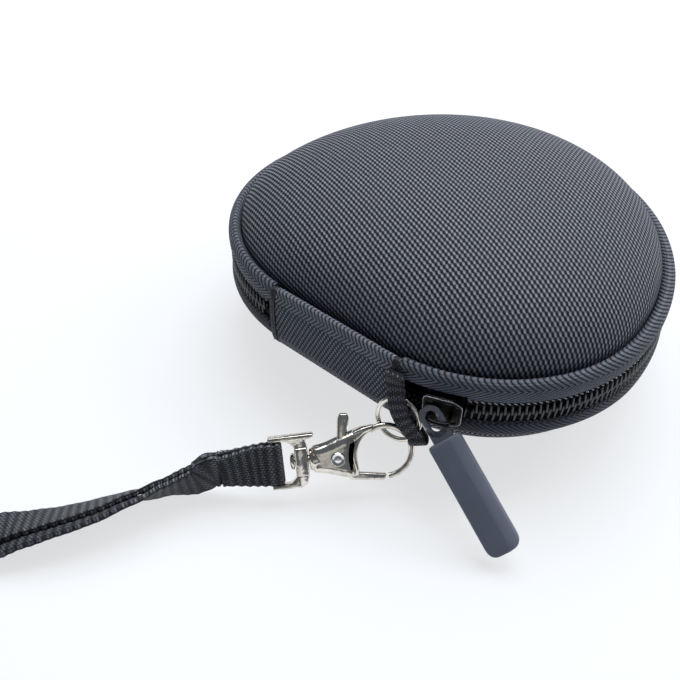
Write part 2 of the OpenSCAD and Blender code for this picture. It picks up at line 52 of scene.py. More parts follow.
def crossFrame(x, z):  # right-angled axes from a main direction and a rough face direction
    x = vec(x).normalized()
    z = vec(z)
    z = (z - z.dot(x) * x).normalized()
    return x, z.cross(x), z


# the case's own numbers, in millimetres
case = dict(width=119, depth=106.5, height=46.6, zip=22.5, flat=32, band=8.8, crease=2.9,
            full=2.15, rest=0.5, wall=2.4, edge=4.7, tuck=0.7, plump=2.5, swell=0.9)
halfWidth = case["width"] / 2
cornerR = halfWidth - case["flat"] / 2
cornerY = cornerR - case["depth"] / 2
frontReach = case["depth"] - cornerR
hingeY = -case["depth"] / 2
arcLength = cornerR * math.pi / 2
frontLength = math.pi * math.sqrt((halfWidth ** 2 + frontReach ** 2) / 2)
domeZ = case["band"] - 0.6


def cornerPoint(a, off, side):
    r = cornerR - off
    return vec(side * (case["flat"] / 2 + r * math.sin(a)), cornerY - r * math.cos(a), 0)


def rimPoint(s, off):  # s mm round the rim from the right end of the hinge side
    if s < 0:
        return vec(case["flat"] / 2 + s, hingeY + off, 0)
    if s < arcLength:
        return cornerPoint(s / cornerR, off, 1)
    if s > arcLength + frontLength:
        return cornerPoint((2 * arcLength + frontLength - s) / cornerR, off, -1)
    a = math.pi * (s - arcLength) / frontLength
    return vec((halfWidth - off) * math.cos(a), cornerY + (frontReach - off) * math.sin(a), 0)


def rimOut(s):  # outward direction there
    return (rimPoint(s, 0) - rimPoint(s, 4)).normalized()


def rimLoop(off, corner=26, front=72, flat=12):
    pts = [cornerPoint(math.pi / 2 * i / corner, off, 1) for i in range(corner)]
    pts += [vec((halfWidth - off) * math.cos(math.pi * i / front), cornerY + (frontReach - off) * math.sin(math.pi * i / front), 0)
            for i in range(front)]
    pts += [cornerPoint(math.pi / 2 * (1 - i / corner), off, -1) for i in range(corner)]
    return pts + [vec(case["flat"] * (i / flat - 0.5), hingeY + off, 0) for i in range(flat)]


def hingePoint(x, off):
    if abs(x) <= case["flat"] / 2:
        return vec(x, hingeY + off, 0)
    side = 1 if x > 0 else -1
    return cornerPoint(math.asin((abs(x) - case["flat"] / 2) / cornerR), off, side)


def build(name, points, faces, body, slot, finish, replaces=(), smooth=True, cloth=None, sharp=None):
    mesh = bpy.data.meshes.new(name)
    mesh.from_pydata([tuple(p * mm) for p in points], [], faces)
    mesh.update()
    if smooth:
        mesh.shade_smooth()
        if sharp:
            mesh.set_sharp_from_angle(angle=math.radians(sharp))
    if cloth:  # where each point lies on the flat cloth, in millimetres
        layer = mesh.uv_layers.new(name="cloth")
        for loop in mesh.loops:
            layer.data[loop.index].uv = cloth[loop.vertex_index]
    piece = bpy.data.objects.new(name, mesh)
    bpy.context.scene.collection.objects.link(piece)
    mesh.materials.append(finish)
    if body:
        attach(piece, body)
    if replaces:
        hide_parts(*replaces)
    return piece


def skin(rings, closed=True, caps=True):  # faces between equal rings of points
    n = len(rings[0])
    points = [p for r in rings for p in r]
    around = n if closed else n - 1
    faces = [(i * n + j, i * n + (j + 1) % n, (i + 1) * n + (j + 1) % n, (i + 1) * n + j)
             for i in range(len(rings) - 1) for j in range(around)]
    if caps:
        faces += [tuple(reversed(range(n))), tuple(range((len(rings) - 1) * n, len(rings) * n))]
    return points, faces


def join(parts):
    points, faces = [], []
    for p, f in parts:
        k = len(points)
        points += p
        faces += [tuple(i + k for i in face) for face in f]
    return points, faces


def rod(path, r, sides=12, closed=False, flatten=1.0, upHint=(0, 0, 1)):
    n = len(path)
    rings = []
    for i, p in enumerate(path):
        a = path[(i - 1) % n] if closed else path[max(i - 1, 0)]
        b = path[(i + 1) % n] if closed else path[min(i + 1, n - 1)]
        t = (b - a).normalized()
        u = t.cross(vec(upHint))
        u = u.normalized() if u.length > 1e-6 else t.orthogonal().normalized()
        v = u.cross(t).normalized()
        rr = r(i / max(n - 1, 1)) if callable(r) else r
        rings.append([p + rr * (math.cos(2 * math.pi * k / sides) * u + flatten * math.sin(2 * math.pi * k / sides) * v)
                      for k in range(sides)])
    if closed:
        rings.append(rings[0])
        return skin(rings, caps=False)
    return skin(rings)


def ball(centre, r, rows=6, sides=10, stretch=vec(1, 1, 1)):
    rings = []
    for i in range(rows + 1):
        a = math.pi * (i + 0.25) / (rows + 0.5) - math.pi / 2
        rings.append([centre + vec(r * math.cos(a) * math.cos(2 * math.pi * k / sides) * stretch.x,
                                   r * math.cos(a) * math.sin(2 * math.pi * k / sides) * stretch.y,
                                   r * math.sin(a) * stretch.z) for k in range(sides)])
    return skin(rings)


def capsule(a, b, r, sides=8, axes=None):  # a stitch or a tooth: a bar with round ends
    t = (b - a).normalized()
    n = 4
    path = [a + t * r * (1 - math.cos(math.pi / 2 * i / n)) for i in range(n)]
    path += [b - t * r * (1 - math.cos(math.pi / 2 * i / n)) for i in reversed(range(n))]
    radii = [r * math.sin(math.pi / 2 * (i + 0.35) / (n + 0.35)) for i in range(n)]
    radii += radii[::-1]
    u = t.orthogonal().normalized() if axes is None else axes[0]
    v = t.cross(u)
    rings = [[p + rr * (math.cos(2 * math.pi * k / sides) * u + math.sin(2 * math.pi * k / sides) * v) for k in range(sides)]
             for p, rr in zip(path, radii)]
    return skin(rings)


def smoothLine(pts, count):  # even points on a smooth curve through the given ones
    def at(i, t):
        p0, p1, p2, p3 = pts[max(i - 1, 0)], pts[i], pts[i + 1], pts[min(i + 2, len(pts) - 1)]
        return 0.5 * ((2 * p1) + (p2 - p0) * t + (2 * p0 - 5 * p1 + 4 * p2 - p3) * t * t + (3 * p1 - p0 - 3 * p2 + p3) * t ** 3)
    fine = [at(i, k / 20) for i in range(len(pts) - 1) for k in range(20)] + [pts[-1]]
    run = [0]
    for a, b in zip(fine, fine[1:]):
        run.append(run[-1] + (b - a).length)
    out = []
    j = 0
    for k in range(count):
        s = run[-1] * k / (count - 1)
        while j < len(run) - 2 and run[j + 1] < s:
            j += 1
        t = (s - run[j]) / max(run[j + 1] - run[j], 1e-9)
        out.append(fine[j].lerp(fine[j + 1], min(max(t, 0), 1)))
    return out, run[-1]


# shader maths: a socket that takes part in sums
class Wire:
    def __init__(self, finish, socket):
        self.finish, self.socket = finish, socket

    def maths(self, operation, *others):
        return self.finish.node("Math", {"operation": operation}, dict(enumerate((self,) + others)))

    def __add__(self, other):
        return self.maths("ADD", other)

    def __sub__(self, other):
        return self.maths("SUBTRACT", other)

    def __mul__(self, other):
        return self.maths("MULTIPLY", other)

    def __truediv__(self, other):
        return self.maths("DIVIDE", other)

    def __pow__(self, other):
        return self.maths("POWER", other)

    def __rsub__(self, other):
        return self.finish.node("Math", {"operation": "SUBTRACT"}, {0: other, 1: self})

    __radd__ = __add__
    __rmul__ = __mul__

    def sine(self):
        return self.maths("SINE")

    def whole(self):
        return self.maths("FLOOR")

    def part(self):
        return self.maths("FRACT")

    def size(self):
        return self.maths("ABSOLUTE")

    def above(self, limit):
        return self.maths("GREATER_THAN", limit)

    def least(self, other):
        return self.maths("MINIMUM", other)

    def most(self, other):
        return self.maths("MAXIMUM", other)

    def step(self, low, high):  # 0 below low, 1 above high, smooth between
        return self.finish.node("MapRange", {"interpolation_type": "SMOOTHSTEP"},
                                {"Value": self, "From Min": low, "From Max": high})


class Finish:
    def __init__(self, name, **fixed):
        self.mat = bpy.data.materials.new(name)
        self.mat.use_nodes = True
        self.tree = self.mat.node_tree
        self.tree.nodes.clear()
        self.shader = self.tree.nodes.new("ShaderNodeBsdfPrincipled")
        out = self.tree.nodes.new("ShaderNodeOutputMaterial")
        self.tree.links.new(self.shader.outputs[0], out.inputs[0])
        for key, value in fixed.items():
            self.shader.inputs[key.replace("_", " ")].default_value = value

    def put(self, socket, value):
        if isinstance(value, Wire):
            self.tree.links.new(value.socket, socket)
        else:
            socket.default_value = value

    def node(self, kind, settings=None, sockets=None, out=0):
        made = self.tree.nodes.new("ShaderNode" + kind)
        for key, value in (settings or {}).items():
            if key == "stops":
                ramp = made.color_ramp
                while len(ramp.elements) < len(value):
                    ramp.elements.new(0.5)
                for element, (place, colour) in zip(ramp.elements, value):
                    element.position, element.color = place, (*colour, 1)
            else:
                setattr(made, key, value)
        for key, value in (sockets or {}).items():
            self.put(made.inputs[key], value)
        return Wire(self, made.outputs[out])

    def feed(self, key, value):
        self.put(self.shader.inputs[key], value)
        return self

    def place(self):  # the point in the row frame, in millimetres
        here = self.node("TexCoord", out=3)
        return self.node("VectorMath", {"operation": "SCALE"}, {0: here, "Scale": 1000.0})

    def onCloth(self):
        split = self.node("UVMap", {"uv_map": "cloth"})
        made = self.node("SeparateXYZ", sockets={0: split})
        return made, Wire(self, made.socket.node.outputs[1])

    def noise(self, scale, detail=3.0, rough=0.5, where=None):
        return self.node("TexNoise", sockets={"Vector": where or self.place(), "Scale": scale, "Detail": detail, "Roughness": rough})

    def blend(self, factor, a, b):
        made = self.tree.nodes.new("ShaderNodeMix")
        made.data_type = "RGBA"
        self.put(made.inputs[0], factor)
        for socket, value in ((made.inputs[6], a), (made.inputs[7], b)):
            self.put(socket, value if isinstance(value, Wire) else (*value, 1))
        return Wire(self, made.outputs[2])

    def bump(self, height, depth, strength=1.0):
        return self.feed("Normal", self.node("Bump", sockets={"Strength": strength, "Distance": depth * mm, "Height": height}))


def wovenCells(f, u, v, acrossU, acrossV):
    # a weave of knuckles: every second cell shows the yarn that runs along v, the others the one along u
    a, b = u / acrossU, v / acrossV
    odd = (a.whole() + b.whole()).maths("FLOORED_MODULO", 2.0)
    sa, sb = (a.part() * math.pi).sine(), (b.part() * math.pi).sine()
    along = (sa ** 0.7) * (sb ** 0.35)
    over = (sb ** 0.7) * (sa ** 0.35)
    return odd, along, over


def knuckles(u, v, acrossU, acrossV, ridge):
    # round knuckles on every second cell, joined into slanted ridges, with holes between
    a, b = u / acrossU, v / acrossV
    falling = ((a - b) * math.pi + math.pi / 2).sine()
    rising = ((a + b) * math.pi - math.pi / 2).sine()
    return 0.5 + falling * (0.25 + ridge) + rising * (0.25 - ridge)


def coarseWeave(name, look):
    f = Finish(name, Specular_IOR_Level=look["gloss"], Sheen_Weight=look["sheen"], Sheen_Roughness=0.4, Sheen_Tint=(0.75, 0.85, 1, 1))
    u, v = f.onCloth()
    wob = f.noise(0.35, 2.0)
    u2 = u + (wob - 0.5) * look["wobble"]
    v2 = v + (f.noise(0.3, 2.0) - 0.5) * look["wobble"]
    height = knuckles(u2, v2, look["pitchU"], look["pitchV"], look["ridge"])
    # fine filaments along each yarn
    hair = f.node("TexNoise", sockets={"Vector": f.node("CombineXYZ", sockets={0: u2 * 9.0, 1: v2 * 1.2, 2: 0.0}), "Scale": 1.0, "Detail": 2.0})
    height = height + (hair - 0.5) * 0.1
    patch = f.noise(0.05, 3.0)
    # painted shade: the colour runs from the near-black gap colour in the weave's hollows to the yarn colour on its
    # knuckles
    shade = height.step(0.3, 0.95)
    colour = f.blend(shade, look["gap"], look["yarn"])
    colour = f.blend((patch - 0.5) * 0.3 + 0.05, colour, look["worn"])
    f.feed("Base Color", colour)
    f.feed("Roughness", 0.8 - shade * 0.38 + (patch - 0.5) * 0.1)
    f.bump(height, look["depth"])
    return f.mat


def fineWeave(name, look):
    f = Finish(name, Specular_IOR_Level=look["gloss"], Sheen_Weight=look["sheen"], Sheen_Roughness=0.45)
    u, v = f.onCloth()
    odd, along, over = wovenCells(f, u, v, look["pitchU"], look["pitchV"])
    # painted shade: the gaps between knuckles and the lower cross-yarn cells take the near-black gap colour
    height = (1 - odd) * along + odd * over * look["crossYarn"]
    patch = f.noise(0.12, 3.0)
    shade = height.step(0.1, 0.95)
    colour = f.blend(shade, look["gap"], look["yarn"])
    f.feed("Base Color", f.blend((patch - 0.5) * 0.6 + 0.1, colour, look["worn"]))
    f.feed("Roughness", 0.72 - shade * 0.15)
    f.bump(height, look["depth"])
    return f.mat


def twillTape(name, look):  # herringbone tape: slanted ribs that turn back at every row's edge
    f = Finish(name, Specular_IOR_Level=look["gloss"], Sheen_Weight=look["sheen"], Sheen_Roughness=0.45)
    u, v = f.onCloth()
    zig = ((v / look["row"]).part() - 0.5).size() * 2.0
    rib = ((u / look["rib"] + zig * look["slant"]).part() * math.pi).sine()
    thread = ((v / look["thread"]).part() * math.pi).sine()
    height = (rib ** 0.8) * (0.65 + thread * 0.35)
    patch = f.noise(0.15, 3.0)
    # painted shade: the colour runs from the near-black gap colour in the grooves between ribs to the yarn colour on
    # them
    shade = height.step(0.15, 0.95)
    colour = f.blend(shade, look["gap"], look["yarn"])
    colour = f.blend((patch - 0.5) * 0.6 + 0.1, colour, look["worn"])
    # painted shadow: low on the band, towards the coil, the tape turns to the shadow colour
    f.feed("Base Color", f.blend(v.step(2.6, 4.2), look["shadow"], colour) if "shadow" in look else colour)
    f.feed("Roughness", 0.75 - shade * 0.2)
    f.bump(height, look["depth"])
    return f.mat


def ribbedWebbing(name, look):
    f = Finish(name, Specular_IOR_Level=look["gloss"], Sheen_Weight=look["sheen"], Sheen_Roughness=0.4)
    u, v = f.onCloth()  # u along the webbing, v across it
    rowAcross = v / look["rib"]
    shift = (rowAcross.whole().maths("FLOORED_MODULO", 2.0)) * 0.5
    pick = ((u / look["pick"] + shift).part() * math.pi).sine()
    rib = (rowAcross.part() * math.pi).sine()
    swell = (u * (2 * math.pi / look["wave"]) + math.pi / 2).sine() * 0.5 + 0.5
    height = (rib ** 0.6) * (0.3 + 0.7 * (pick ** 0.6)) * (0.4 + 0.6 * swell)
    patch = f.noise(0.2, 3.0)
    # painted shade: the colour runs from the near-black gap colour in the grooves between ribs and picks to the yarn
    # colour on them
    shade = height.step(0.2, 0.95)
    colour = f.blend(shade, look["gap"], look["yarn"])
    f.feed("Base Color", f.blend((patch - 0.5) * 0.5 + 0.1, colour, look["worn"]))
    f.feed("Roughness", 0.66 - shade * 0.16)
    f.bump(height, look["depth"])
    return f.mat


def plating(name, look):  # nickel, with faint casting ripples and rubbed spots
    f = Finish(name, Metallic=1.0)
    cloud = f.noise(look["cloud"], 4.0)
    speck = f.noise(6.0, 2.0)
    f.feed("Base Color", f.blend(cloud.step(0.35, 0.75), look["bright"], look["warm"]))
    f.feed("Roughness", look["rough"] + (cloud - 0.5) * 0.12 + speck.step(0.62, 0.8) * 0.12)
    f.bump(f.noise(1.3, 2.0), look["ripple"])
    return f.mat


def enamel(name, look):
    f = Finish(name, Coat_Weight=look["coat"], Coat_Roughness=0.12, Specular_IOR_Level=0.12)
    cloud = f.noise(1.1, 4.0)
    f.feed("Base Color", f.blend(cloud.step(0.55, 0.8), look["paint"], look["rubbed"]))
    f.feed("Roughness", look["rough"] + (cloud - 0.5) * 0.12)
    f.bump(f.noise(3.0, 2.0), 0.006)
    return f.mat


def softRubber(name, look):
    f = Finish(name, Specular_IOR_Level=0.35)
    grain = f.noise(7.0, 3.0)
    cloud = f.noise(0.25, 3.0)
    dust = f.noise(1.6, 4.0, 0.7).step(0.66, 0.78)
    colour = f.blend(cloud, look["dark"], look["light"])
    f.feed("Base Color", f.blend(dust * 0.12, colour, (0.4, 0.42, 0.44)))
    f.feed("Roughness", 0.6 + (grain - 0.5) * 0.2)
    f.bump(grain, 0.03)
    return f.mat


def nylonTeeth(name, look):
    f = Finish(name, Specular_IOR_Level=0.55)
    cloud = f.noise(0.8, 3.0)
    f.feed("Base Color", f.blend(cloud, look["dark"], look["light"]))
    f.feed("Roughness", 0.34 + (f.noise(4.0, 2.0) - 0.5) * 0.2)
    f.bump(f.noise(5.0, 2.0), 0.03)
    return f.mat


# in the cloth looks, gap is painted shade for the hollows between yarns, and shadow is a painted shadow near the coil
finishes = dict(
    weave=coarseWeave("shellWeave", dict(pitchU=0.624, pitchV=1.19, wobble=0.25, ridge=0.05, depth=0.22, gloss=0.25, sheen=0.0,
                                         gap=(0.001, 0.0012, 0.003), yarn=(0.23, 0.24, 0.295), worn=(0.07, 0.075, 0.095))),
    lining=fineWeave("liningKnit", dict(pitchU=0.5, pitchV=0.5, crossYarn=0.8, depth=0.08, gloss=0.3, sheen=0.2,
                                        gap=(0.012, 0.012, 0.013), yarn=(0.05, 0.05, 0.052), worn=(0.06, 0.06, 0.062))),
    oxford=fineWeave("hingeOxford", dict(pitchU=0.62, pitchV=0.9, crossYarn=0.25, depth=0.25, gloss=0.3, sheen=0.02,
                                         gap=(0.002, 0.0025, 0.005), yarn=(0.27, 0.295, 0.39), worn=(0.06, 0.068, 0.095))),
    tape=twillTape("bandTwill", dict(row=7.4, rib=1.5, slant=-4.2, thread=0.4, depth=0.26, gloss=0.3, sheen=0.02, shadow=(0.006, 0.0065, 0.009),
                                     gap=(0.002, 0.0025, 0.004), yarn=(0.13, 0.14, 0.18), worn=(0.026, 0.029, 0.04))),
    # painted shade: the bottom band's tape is a darker copy of the top band's, as the lower side lies in shade
    shadedTape=twillTape("shadedBandTwill", dict(row=7.4, rib=1.5, slant=-4.2, thread=0.4, depth=0.16, gloss=0.3, sheen=0.02, shadow=(0.005, 0.0055, 0.008),
                                           gap=(0.003, 0.0035, 0.005), yarn=(0.075, 0.082, 0.105), worn=(0.02, 0.023, 0.032))),
    binding=ribbedWebbing("edgeBinding", dict(rib=0.5, pick=0.7, wave=1.4, depth=0.12, gloss=0.4, sheen=0.1,
                                              gap=(0.003, 0.003, 0.004), yarn=(0.05, 0.053, 0.066), worn=(0.025, 0.026, 0.033))),
    webbing=ribbedWebbing("strapWebbing", dict(rib=0.62, pick=0.8, wave=2.0, depth=0.4, gloss=0.35, sheen=0.02,
                                               gap=(0.002, 0.002, 0.003), yarn=(0.15, 0.157, 0.19), worn=(0.05, 0.053, 0.066))),
    coil=nylonTeeth("coilNylon", dict(dark=(0.012, 0.0125, 0.015), light=(0.05, 0.052, 0.06))),
    thread=nylonTeeth("sewingThread", dict(dark=(0.34, 0.35, 0.38), light=(0.6, 0.61, 0.65))),
    edging=twillTape("lipTwill", dict(row=3.6, rib=1.15, slant=-1.5, thread=0.5, depth=0.3, gloss=0.4, sheen=0.02,
                                      gap=(0.002, 0.002, 0.004), yarn=(0.22, 0.23, 0.28), worn=(0.05, 0.055, 0.07))),
    brightRivet=plating("rivetNickel", dict(cloud=0.8, bright=(0.9, 0.89, 0.87), warm=(0.8, 0.78, 0.76), rough=0.24, ripple=0.02)),
    darkThread=nylonTeeth("darkThread", dict(dark=(0.03, 0.032, 0.04), light=(0.09, 0.095, 0.12))),
    enamel=enamel("sliderEnamel", dict(coat=0.1, rough=0.3, paint=(0.001, 0.001, 0.0013), rubbed=(0.003, 0.003, 0.004))),
    gunmetal=plating("linkGunmetal", dict(cloud=0.9, bright=(0.42, 0.43, 0.46), warm=(0.3, 0.305, 0.33), rough=0.26, ripple=0.02)),
    nickel=plating("brightNickel", dict(cloud=0.5, bright=(0.8, 0.76, 0.69), warm=(0.55, 0.5, 0.43), rough=0.13, ripple=0.04)),
    rubber=softRubber("gripRubber", dict(dark=(0.125, 0.14, 0.185), light=(0.15, 0.166, 0.215))),
)

print("finishes made:", len(finishes))

# camera first: it stands where the photograph was taken from
view = dict(at=(96.7, -158.6, 160.3), to=(-15.25, -30.9, 0), lens=43.87)
lens = bpy.data.cameras.new("studioCamera")
lens.lens, lens.sensor_width = view["lens"], 36
camera = bpy.data.objects.new("studioCamera", lens)
camera.location = vec(view["at"]) * mm
camera.rotation_euler = (vec(view["to"]) - vec(view["at"])).to_track_quat("-Z", "Y").to_euler()
lens.clip_start, lens.clip_end = 0.01, 10
bpy.context.scene.collection.objects.link(camera)
bpy.context.scene.camera = camera

# hook axes: x from the eye to the bail, z out of its face
eye = vec(24.44, -60.41, 10.53)
hookX, hookY, hookZ = crossFrame((-0.687, -0.724, -0.065), (0.588, -0.606, 0.536))


def onHook(x, y, z):
    return eye + hookX * x + hookY * y + hookZ * z


def webbingRun(centres, across, width, thick, corner=0.35, scallop=0.0, wave=2.0):
    # a flat strip of webbing with rolled edges; across gives the width direction at each point
    rings, cloth = [], []
    run = 0
    half, t = width / 2, thick / 2
    curl = (-1.5708, -1.1, -0.55, 0, 0.55, 1.1, 1.5708)
    section = [(-half + corner - corner * math.cos(a), t * math.sin(a)) for a in curl]
    section += [(-half + corner + (width - 2 * corner) * k / 6, t) for k in range(1, 6)]
    section += [(half - corner + corner * math.cos(a), t * math.sin(a)) for a in reversed(curl)]
    section += [(half - corner - (width - 2 * corner) * k / 6, -t) for k in range(1, 6)]
    for i, p in enumerate(centres):
        a, b = centres[max(i - 1, 0)], centres[min(i + 1, len(centres) - 1)]
        t0 = (b - a).normalized()
        w = across[i] - across[i].dot(t0) * t0
        w.normalize()
        n = t0.cross(w)
        if i:
            run += (p - centres[i - 1]).length
        nip = 1 - scallop * (0.5 - 0.5 * math.cos(2 * math.pi * run / wave)) / half
        rings.append([p + w * x * nip + n * y for x, y in section])
        cloth += [(run, x + (0 if y > 0 else 0.3)) for x, y in section]
    return (*skin(rings), cloth)


strap = dict(width=10, thick=1.3, foldEnd=38.2)
foldEnd = strap["foldEnd"]
# where the paired runs lie and how far they lean over: x, y, z, degrees from upright
stem = [(-5.0, -92.6, 6.2, 8), (-9.4, -98.9, 5.3, 26), (-12.8, -105.8, 5.5, 42), (-16.2, -112.8, 5.0, 50), (-19.9, -119.1, 4.6, 55),
        (-24.1, -125.1, 4.0, 63), (-28.6, -131.1, 3.2, 76), (-32.3, -136.8, 3.4, 66), (-36.3, -143.0, 4.9, 38)]
stemLine = [onHook(foldEnd + 0.02, 0, 0), onHook(foldEnd + 2.2, 0, 0)] + [vec(x, y, z) for x, y, z, _ in stem]
foldLean = math.radians(-2)


def leaning(along, lean):  # width direction of a strip that leans over sideways
    side = along.cross(vec(0, 0, 1)).normalized() * -1
    return math.cos(lean) * side.cross(along).normalized() * -1 + math.sin(lean) * side


stemWide = [leaning(hookX, foldLean), leaning(hookX, foldLean)]
for i, spot in enumerate(stem):
    k = i + 2
    stemWide.append(leaning((stemLine[min(k + 1, len(stemLine) - 1)] - stemLine[k - 1]).normalized(), math.radians(spot[3])))
runOut, runBack = [], []
for i, p in enumerate(stemLine):
    d = (stemLine[min(i + 1, len(stemLine) - 1)] - stemLine[max(i - 1, 0)]).normalized()
    n = stemWide[i].cross(d).normalized() * 0.69
    fan = stemWide[i].normalized() * 1.75 * min(max((i - 2) / 2, 0), 1, (len(stemLine) - i) / 3)
    runOut.append(p + n + fan)
    runBack.append(p - n - fan)
if runOut[-1].x > runBack[-1].x:
    runOut, runBack = runBack, runOut
loopRoute = [vec(p) for p in [
    (-45.4, -155.4, 5.1), (-53.4, -169, 5.1), (-64.8, -181, 5.1), (-79.6, -185.4, 5.1), (-93.4, -180.6, 5.1), (-101, -168, 5.1),
    (-100.4, -153.6, 5.1), (-90, -142, 5.1), (-75, -138.6, 5.1), (-60.6, -141.6, 5.1), (-48, -148, 5.1)]]
loopRoute = loopRoute if runOut[-1].y < runBack[-1].y else loopRoute[::-1]
route = runOut + loopRoute + runBack[::-1]
routeWide = stemWide + [vec(0, 0, 1)] * len(loopRoute) + stemWide[::-1]
centres, strapLength = smoothLine(route, 1100)
marks = [0]
for a, b in zip(route, route[1:]):
    marks.append(marks[-1] + (b - a).length)
across = []
j = 0
for i in range(len(centres)):
    here = marks[-1] * i / (len(centres) - 1)
    while j < len(marks) - 2 and marks[j + 1] < here:
        j += 1
    k = (here - marks[j]) / (marks[j + 1] - marks[j])
    k = k * k * (3 - 2 * k)
    across.append(routeWide[j].lerp(routeWide[j + 1], min(max(k, 0), 1)))
points, faces, cloth = webbingRun(centres, across, strap["width"], strap["thick"], scallop=0.3)
wristStrap = build("wristStrap", points, faces, "strap", "webbing", finishes["webbing"], ["wrist_strap"], cloth=cloth)
tuple(centres[0] * mm)
round(strapLength * mm, 3)
[tuple(p * mm) for p in centres]
print("wrist strap laid:", round(strapLength), "mm")


# moulded halves: a skin of foam and cloth, dome out and lining in
def rise(k, h, full=case["full"]):
    return h * max(0, 1 - k ** full) ** (1 / 1.9)


def half(name, up, off, height, thick, edge, flat, body, slot, finish, replaces, full=case["full"], swell=0.0):
    # steps of size that crowd towards the rim, where the dome turns down
    shares = [math.sin(math.pi / 2 * i / 44) ** 0.9 for i in range(3, 45)]
    shares = [s for s in shares if s < 0.9995] + [1]
    turn = 1 if up else -1
    zipZ = case["zip"]
    def ring(o, k, z):
        g = flat + (1 - flat) * k
        # the shell is a little fuller on one side
        lean = swell * k * (1 - k ** 6) * (1 if z > domeZ else 0)
        return [vec(p.x * g, p.y * g, zipZ + turn * z + lean * (p.x * 0.75 + p.y * 0.66) / 55) for p in rimLoop(o)]
    rings = [ring(off, k, domeZ + rise(k, height - domeZ, full)) for k in shares]
    rings += [ring(off, 1, domeZ + (edge - domeZ) * t) for t in (0.25, 0.5, 0.75, 1)]
    outer = len(rings)
    rings += [ring(off + thick * t, 1, edge) for t in (0.5, 1)]
    rings += [ring(off + thick, k, domeZ + rise(k, height - thick - domeZ, full)) for k in reversed(shares)]
    points, faces = skin(rings)
    n = len(rings[0])
    # how far each point lies from the middle, along the cloth
    reach = [0.0] * n
    cloth = []
    turnU, turnV = math.radians(40.6), math.radians(-42 if up else -49.4)
    for i, r in enumerate(rings):
        for j, p in enumerate(r):
            flatPoint = vec(p.x, p.y, 0)
            if i:
                step = (p - rings[i - 1][j]).length
                reach[j] += step if i < outer + 1 else -step
            else:
                reach[j] = flatPoint.length
            d = flatPoint.normalized() * reach[j]
            cloth.append((d.x * math.cos(turnU) + d.y * math.sin(turnU), d.x * math.cos(turnV) + d.y * math.sin(turnV)))
    if not up:
        faces = [tuple(reversed(f)) for f in faces]
    return build(name, points, faces, body, slot, finish, replaces, cloth=cloth, sharp=55)


c = case
half("topShell", True, c["crease"] + c["tuck"], c["height"] - c["zip"], c["wall"], c["edge"], 0, "case_lid", "weave", finishes["weave"], ["top_shell"],
     c["plump"], c["swell"])
half("bottomShell", False, c["crease"], c["zip"], c["wall"], c["edge"], c["rest"], "case_base", "weave", finishes["weave"], ["bottom_shell"])
liningOff = c["crease"] + c["wall"] + 0.2
half("topLining", True, liningOff, c["height"] - c["zip"] - c["wall"] - 0.2, 0.6, c["edge"] + 0.3, 0, "case_lid", "lining",
     finishes["lining"], ["top_lining"], c["plump"], c["swell"])
half("bottomLining", False, liningOff, c["zip"] - c["wall"] - 0.2, 0.6, c["edge"] + 0.3, c["rest"], "case_base", "lining",
     finishes["lining"], ["bottom_lining"])
print("moulded halves made")


def insideBinding(name, turn, body, replaces):
    off = liningOff + 0.8
    low, high = c["edge"], c["edge"] + 3.3
    section = [(off, low + 0.3), (off, high - 0.3), (off + 0.25, high), (off + 0.55, high), (off + 0.8, high - 0.3),
               (off + 0.8, low + 0.3), (off + 0.55, low), (off + 0.25, low)]
    n = len(rimLoop(0))
    rings = [[vec(p.x, p.y, c["zip"] + turn * z) for p in rimLoop(o)] for o, z in section]
    rings.append(rings[0])
    points, faces = skin(rings, caps=False)
    run = [0]
    for a, b in zip(rings[0], rings[0][1:]):
        run.append(run[-1] + (b - a).length)
    cloth = [(run[j], k * 0.8) for k in range(len(rings)) for j in range(n)]
    if turn < 0:
        faces = [tuple(reversed(f)) for f in faces]
    build(name, points, faces, body, "binding", finishes["binding"], replaces, cloth=cloth)


insideBinding("topBinding", 1, "case_lid", ["top_binding"])
insideBinding("bottomBinding", -1, "case_base", ["bottom_binding"])

# cloth bands with their zip tapes
band = dict(right=21.3, left=-18.3, stations=240)
hingeShift, hingeHalf, stripWide = 1.5, 18, 1.5
firstS = cornerR * math.asin((hingeShift + hingeHalf + stripWide + 0.3 - c["flat"] / 2) / cornerR)
lastS = 2 * arcLength + frontLength - cornerR * math.asin((hingeHalf - hingeShift + stripWide + 0.3 - c["flat"] / 2) / cornerR)
sliderS = cornerR * math.radians(21.9)
postS = sliderS - 4.6 + 2.3
sliderEndS = sliderS + 4.6 + 0.4


def smoothSection(pts, n):
    line, _ = smoothLine([vec(a, b, 0) for a, b in pts], n)
    return [(p.x, p.y) for p in line]


topLine = [(1.62, 0.95), (1.62, 2.55), (1.4, 2.85), (0.95, 3.05), (0.45, 3.75), (0.14, 4.8), (0.02, 6.0), (0.06, 7.2), (0.45, 8.2), (1.25, 8.85),
           (2.2, 8.95), (2.95, 8.45), (3.45, 7.6)]
lowLine = [(1.62, 0.95), (1.62, 2.5), (1.35, 2.85), (0.8, 3.1), (0.3, 3.9), (0.03, 5.0), (0.05, 6.1), (0.45, 7.0), (1.2, 7.7), (2.1, 7.9), (2.66, 7.5)]
innerLine = [(2.4, 4.6), (2.38, 2.6), (2.35, 0.95)]


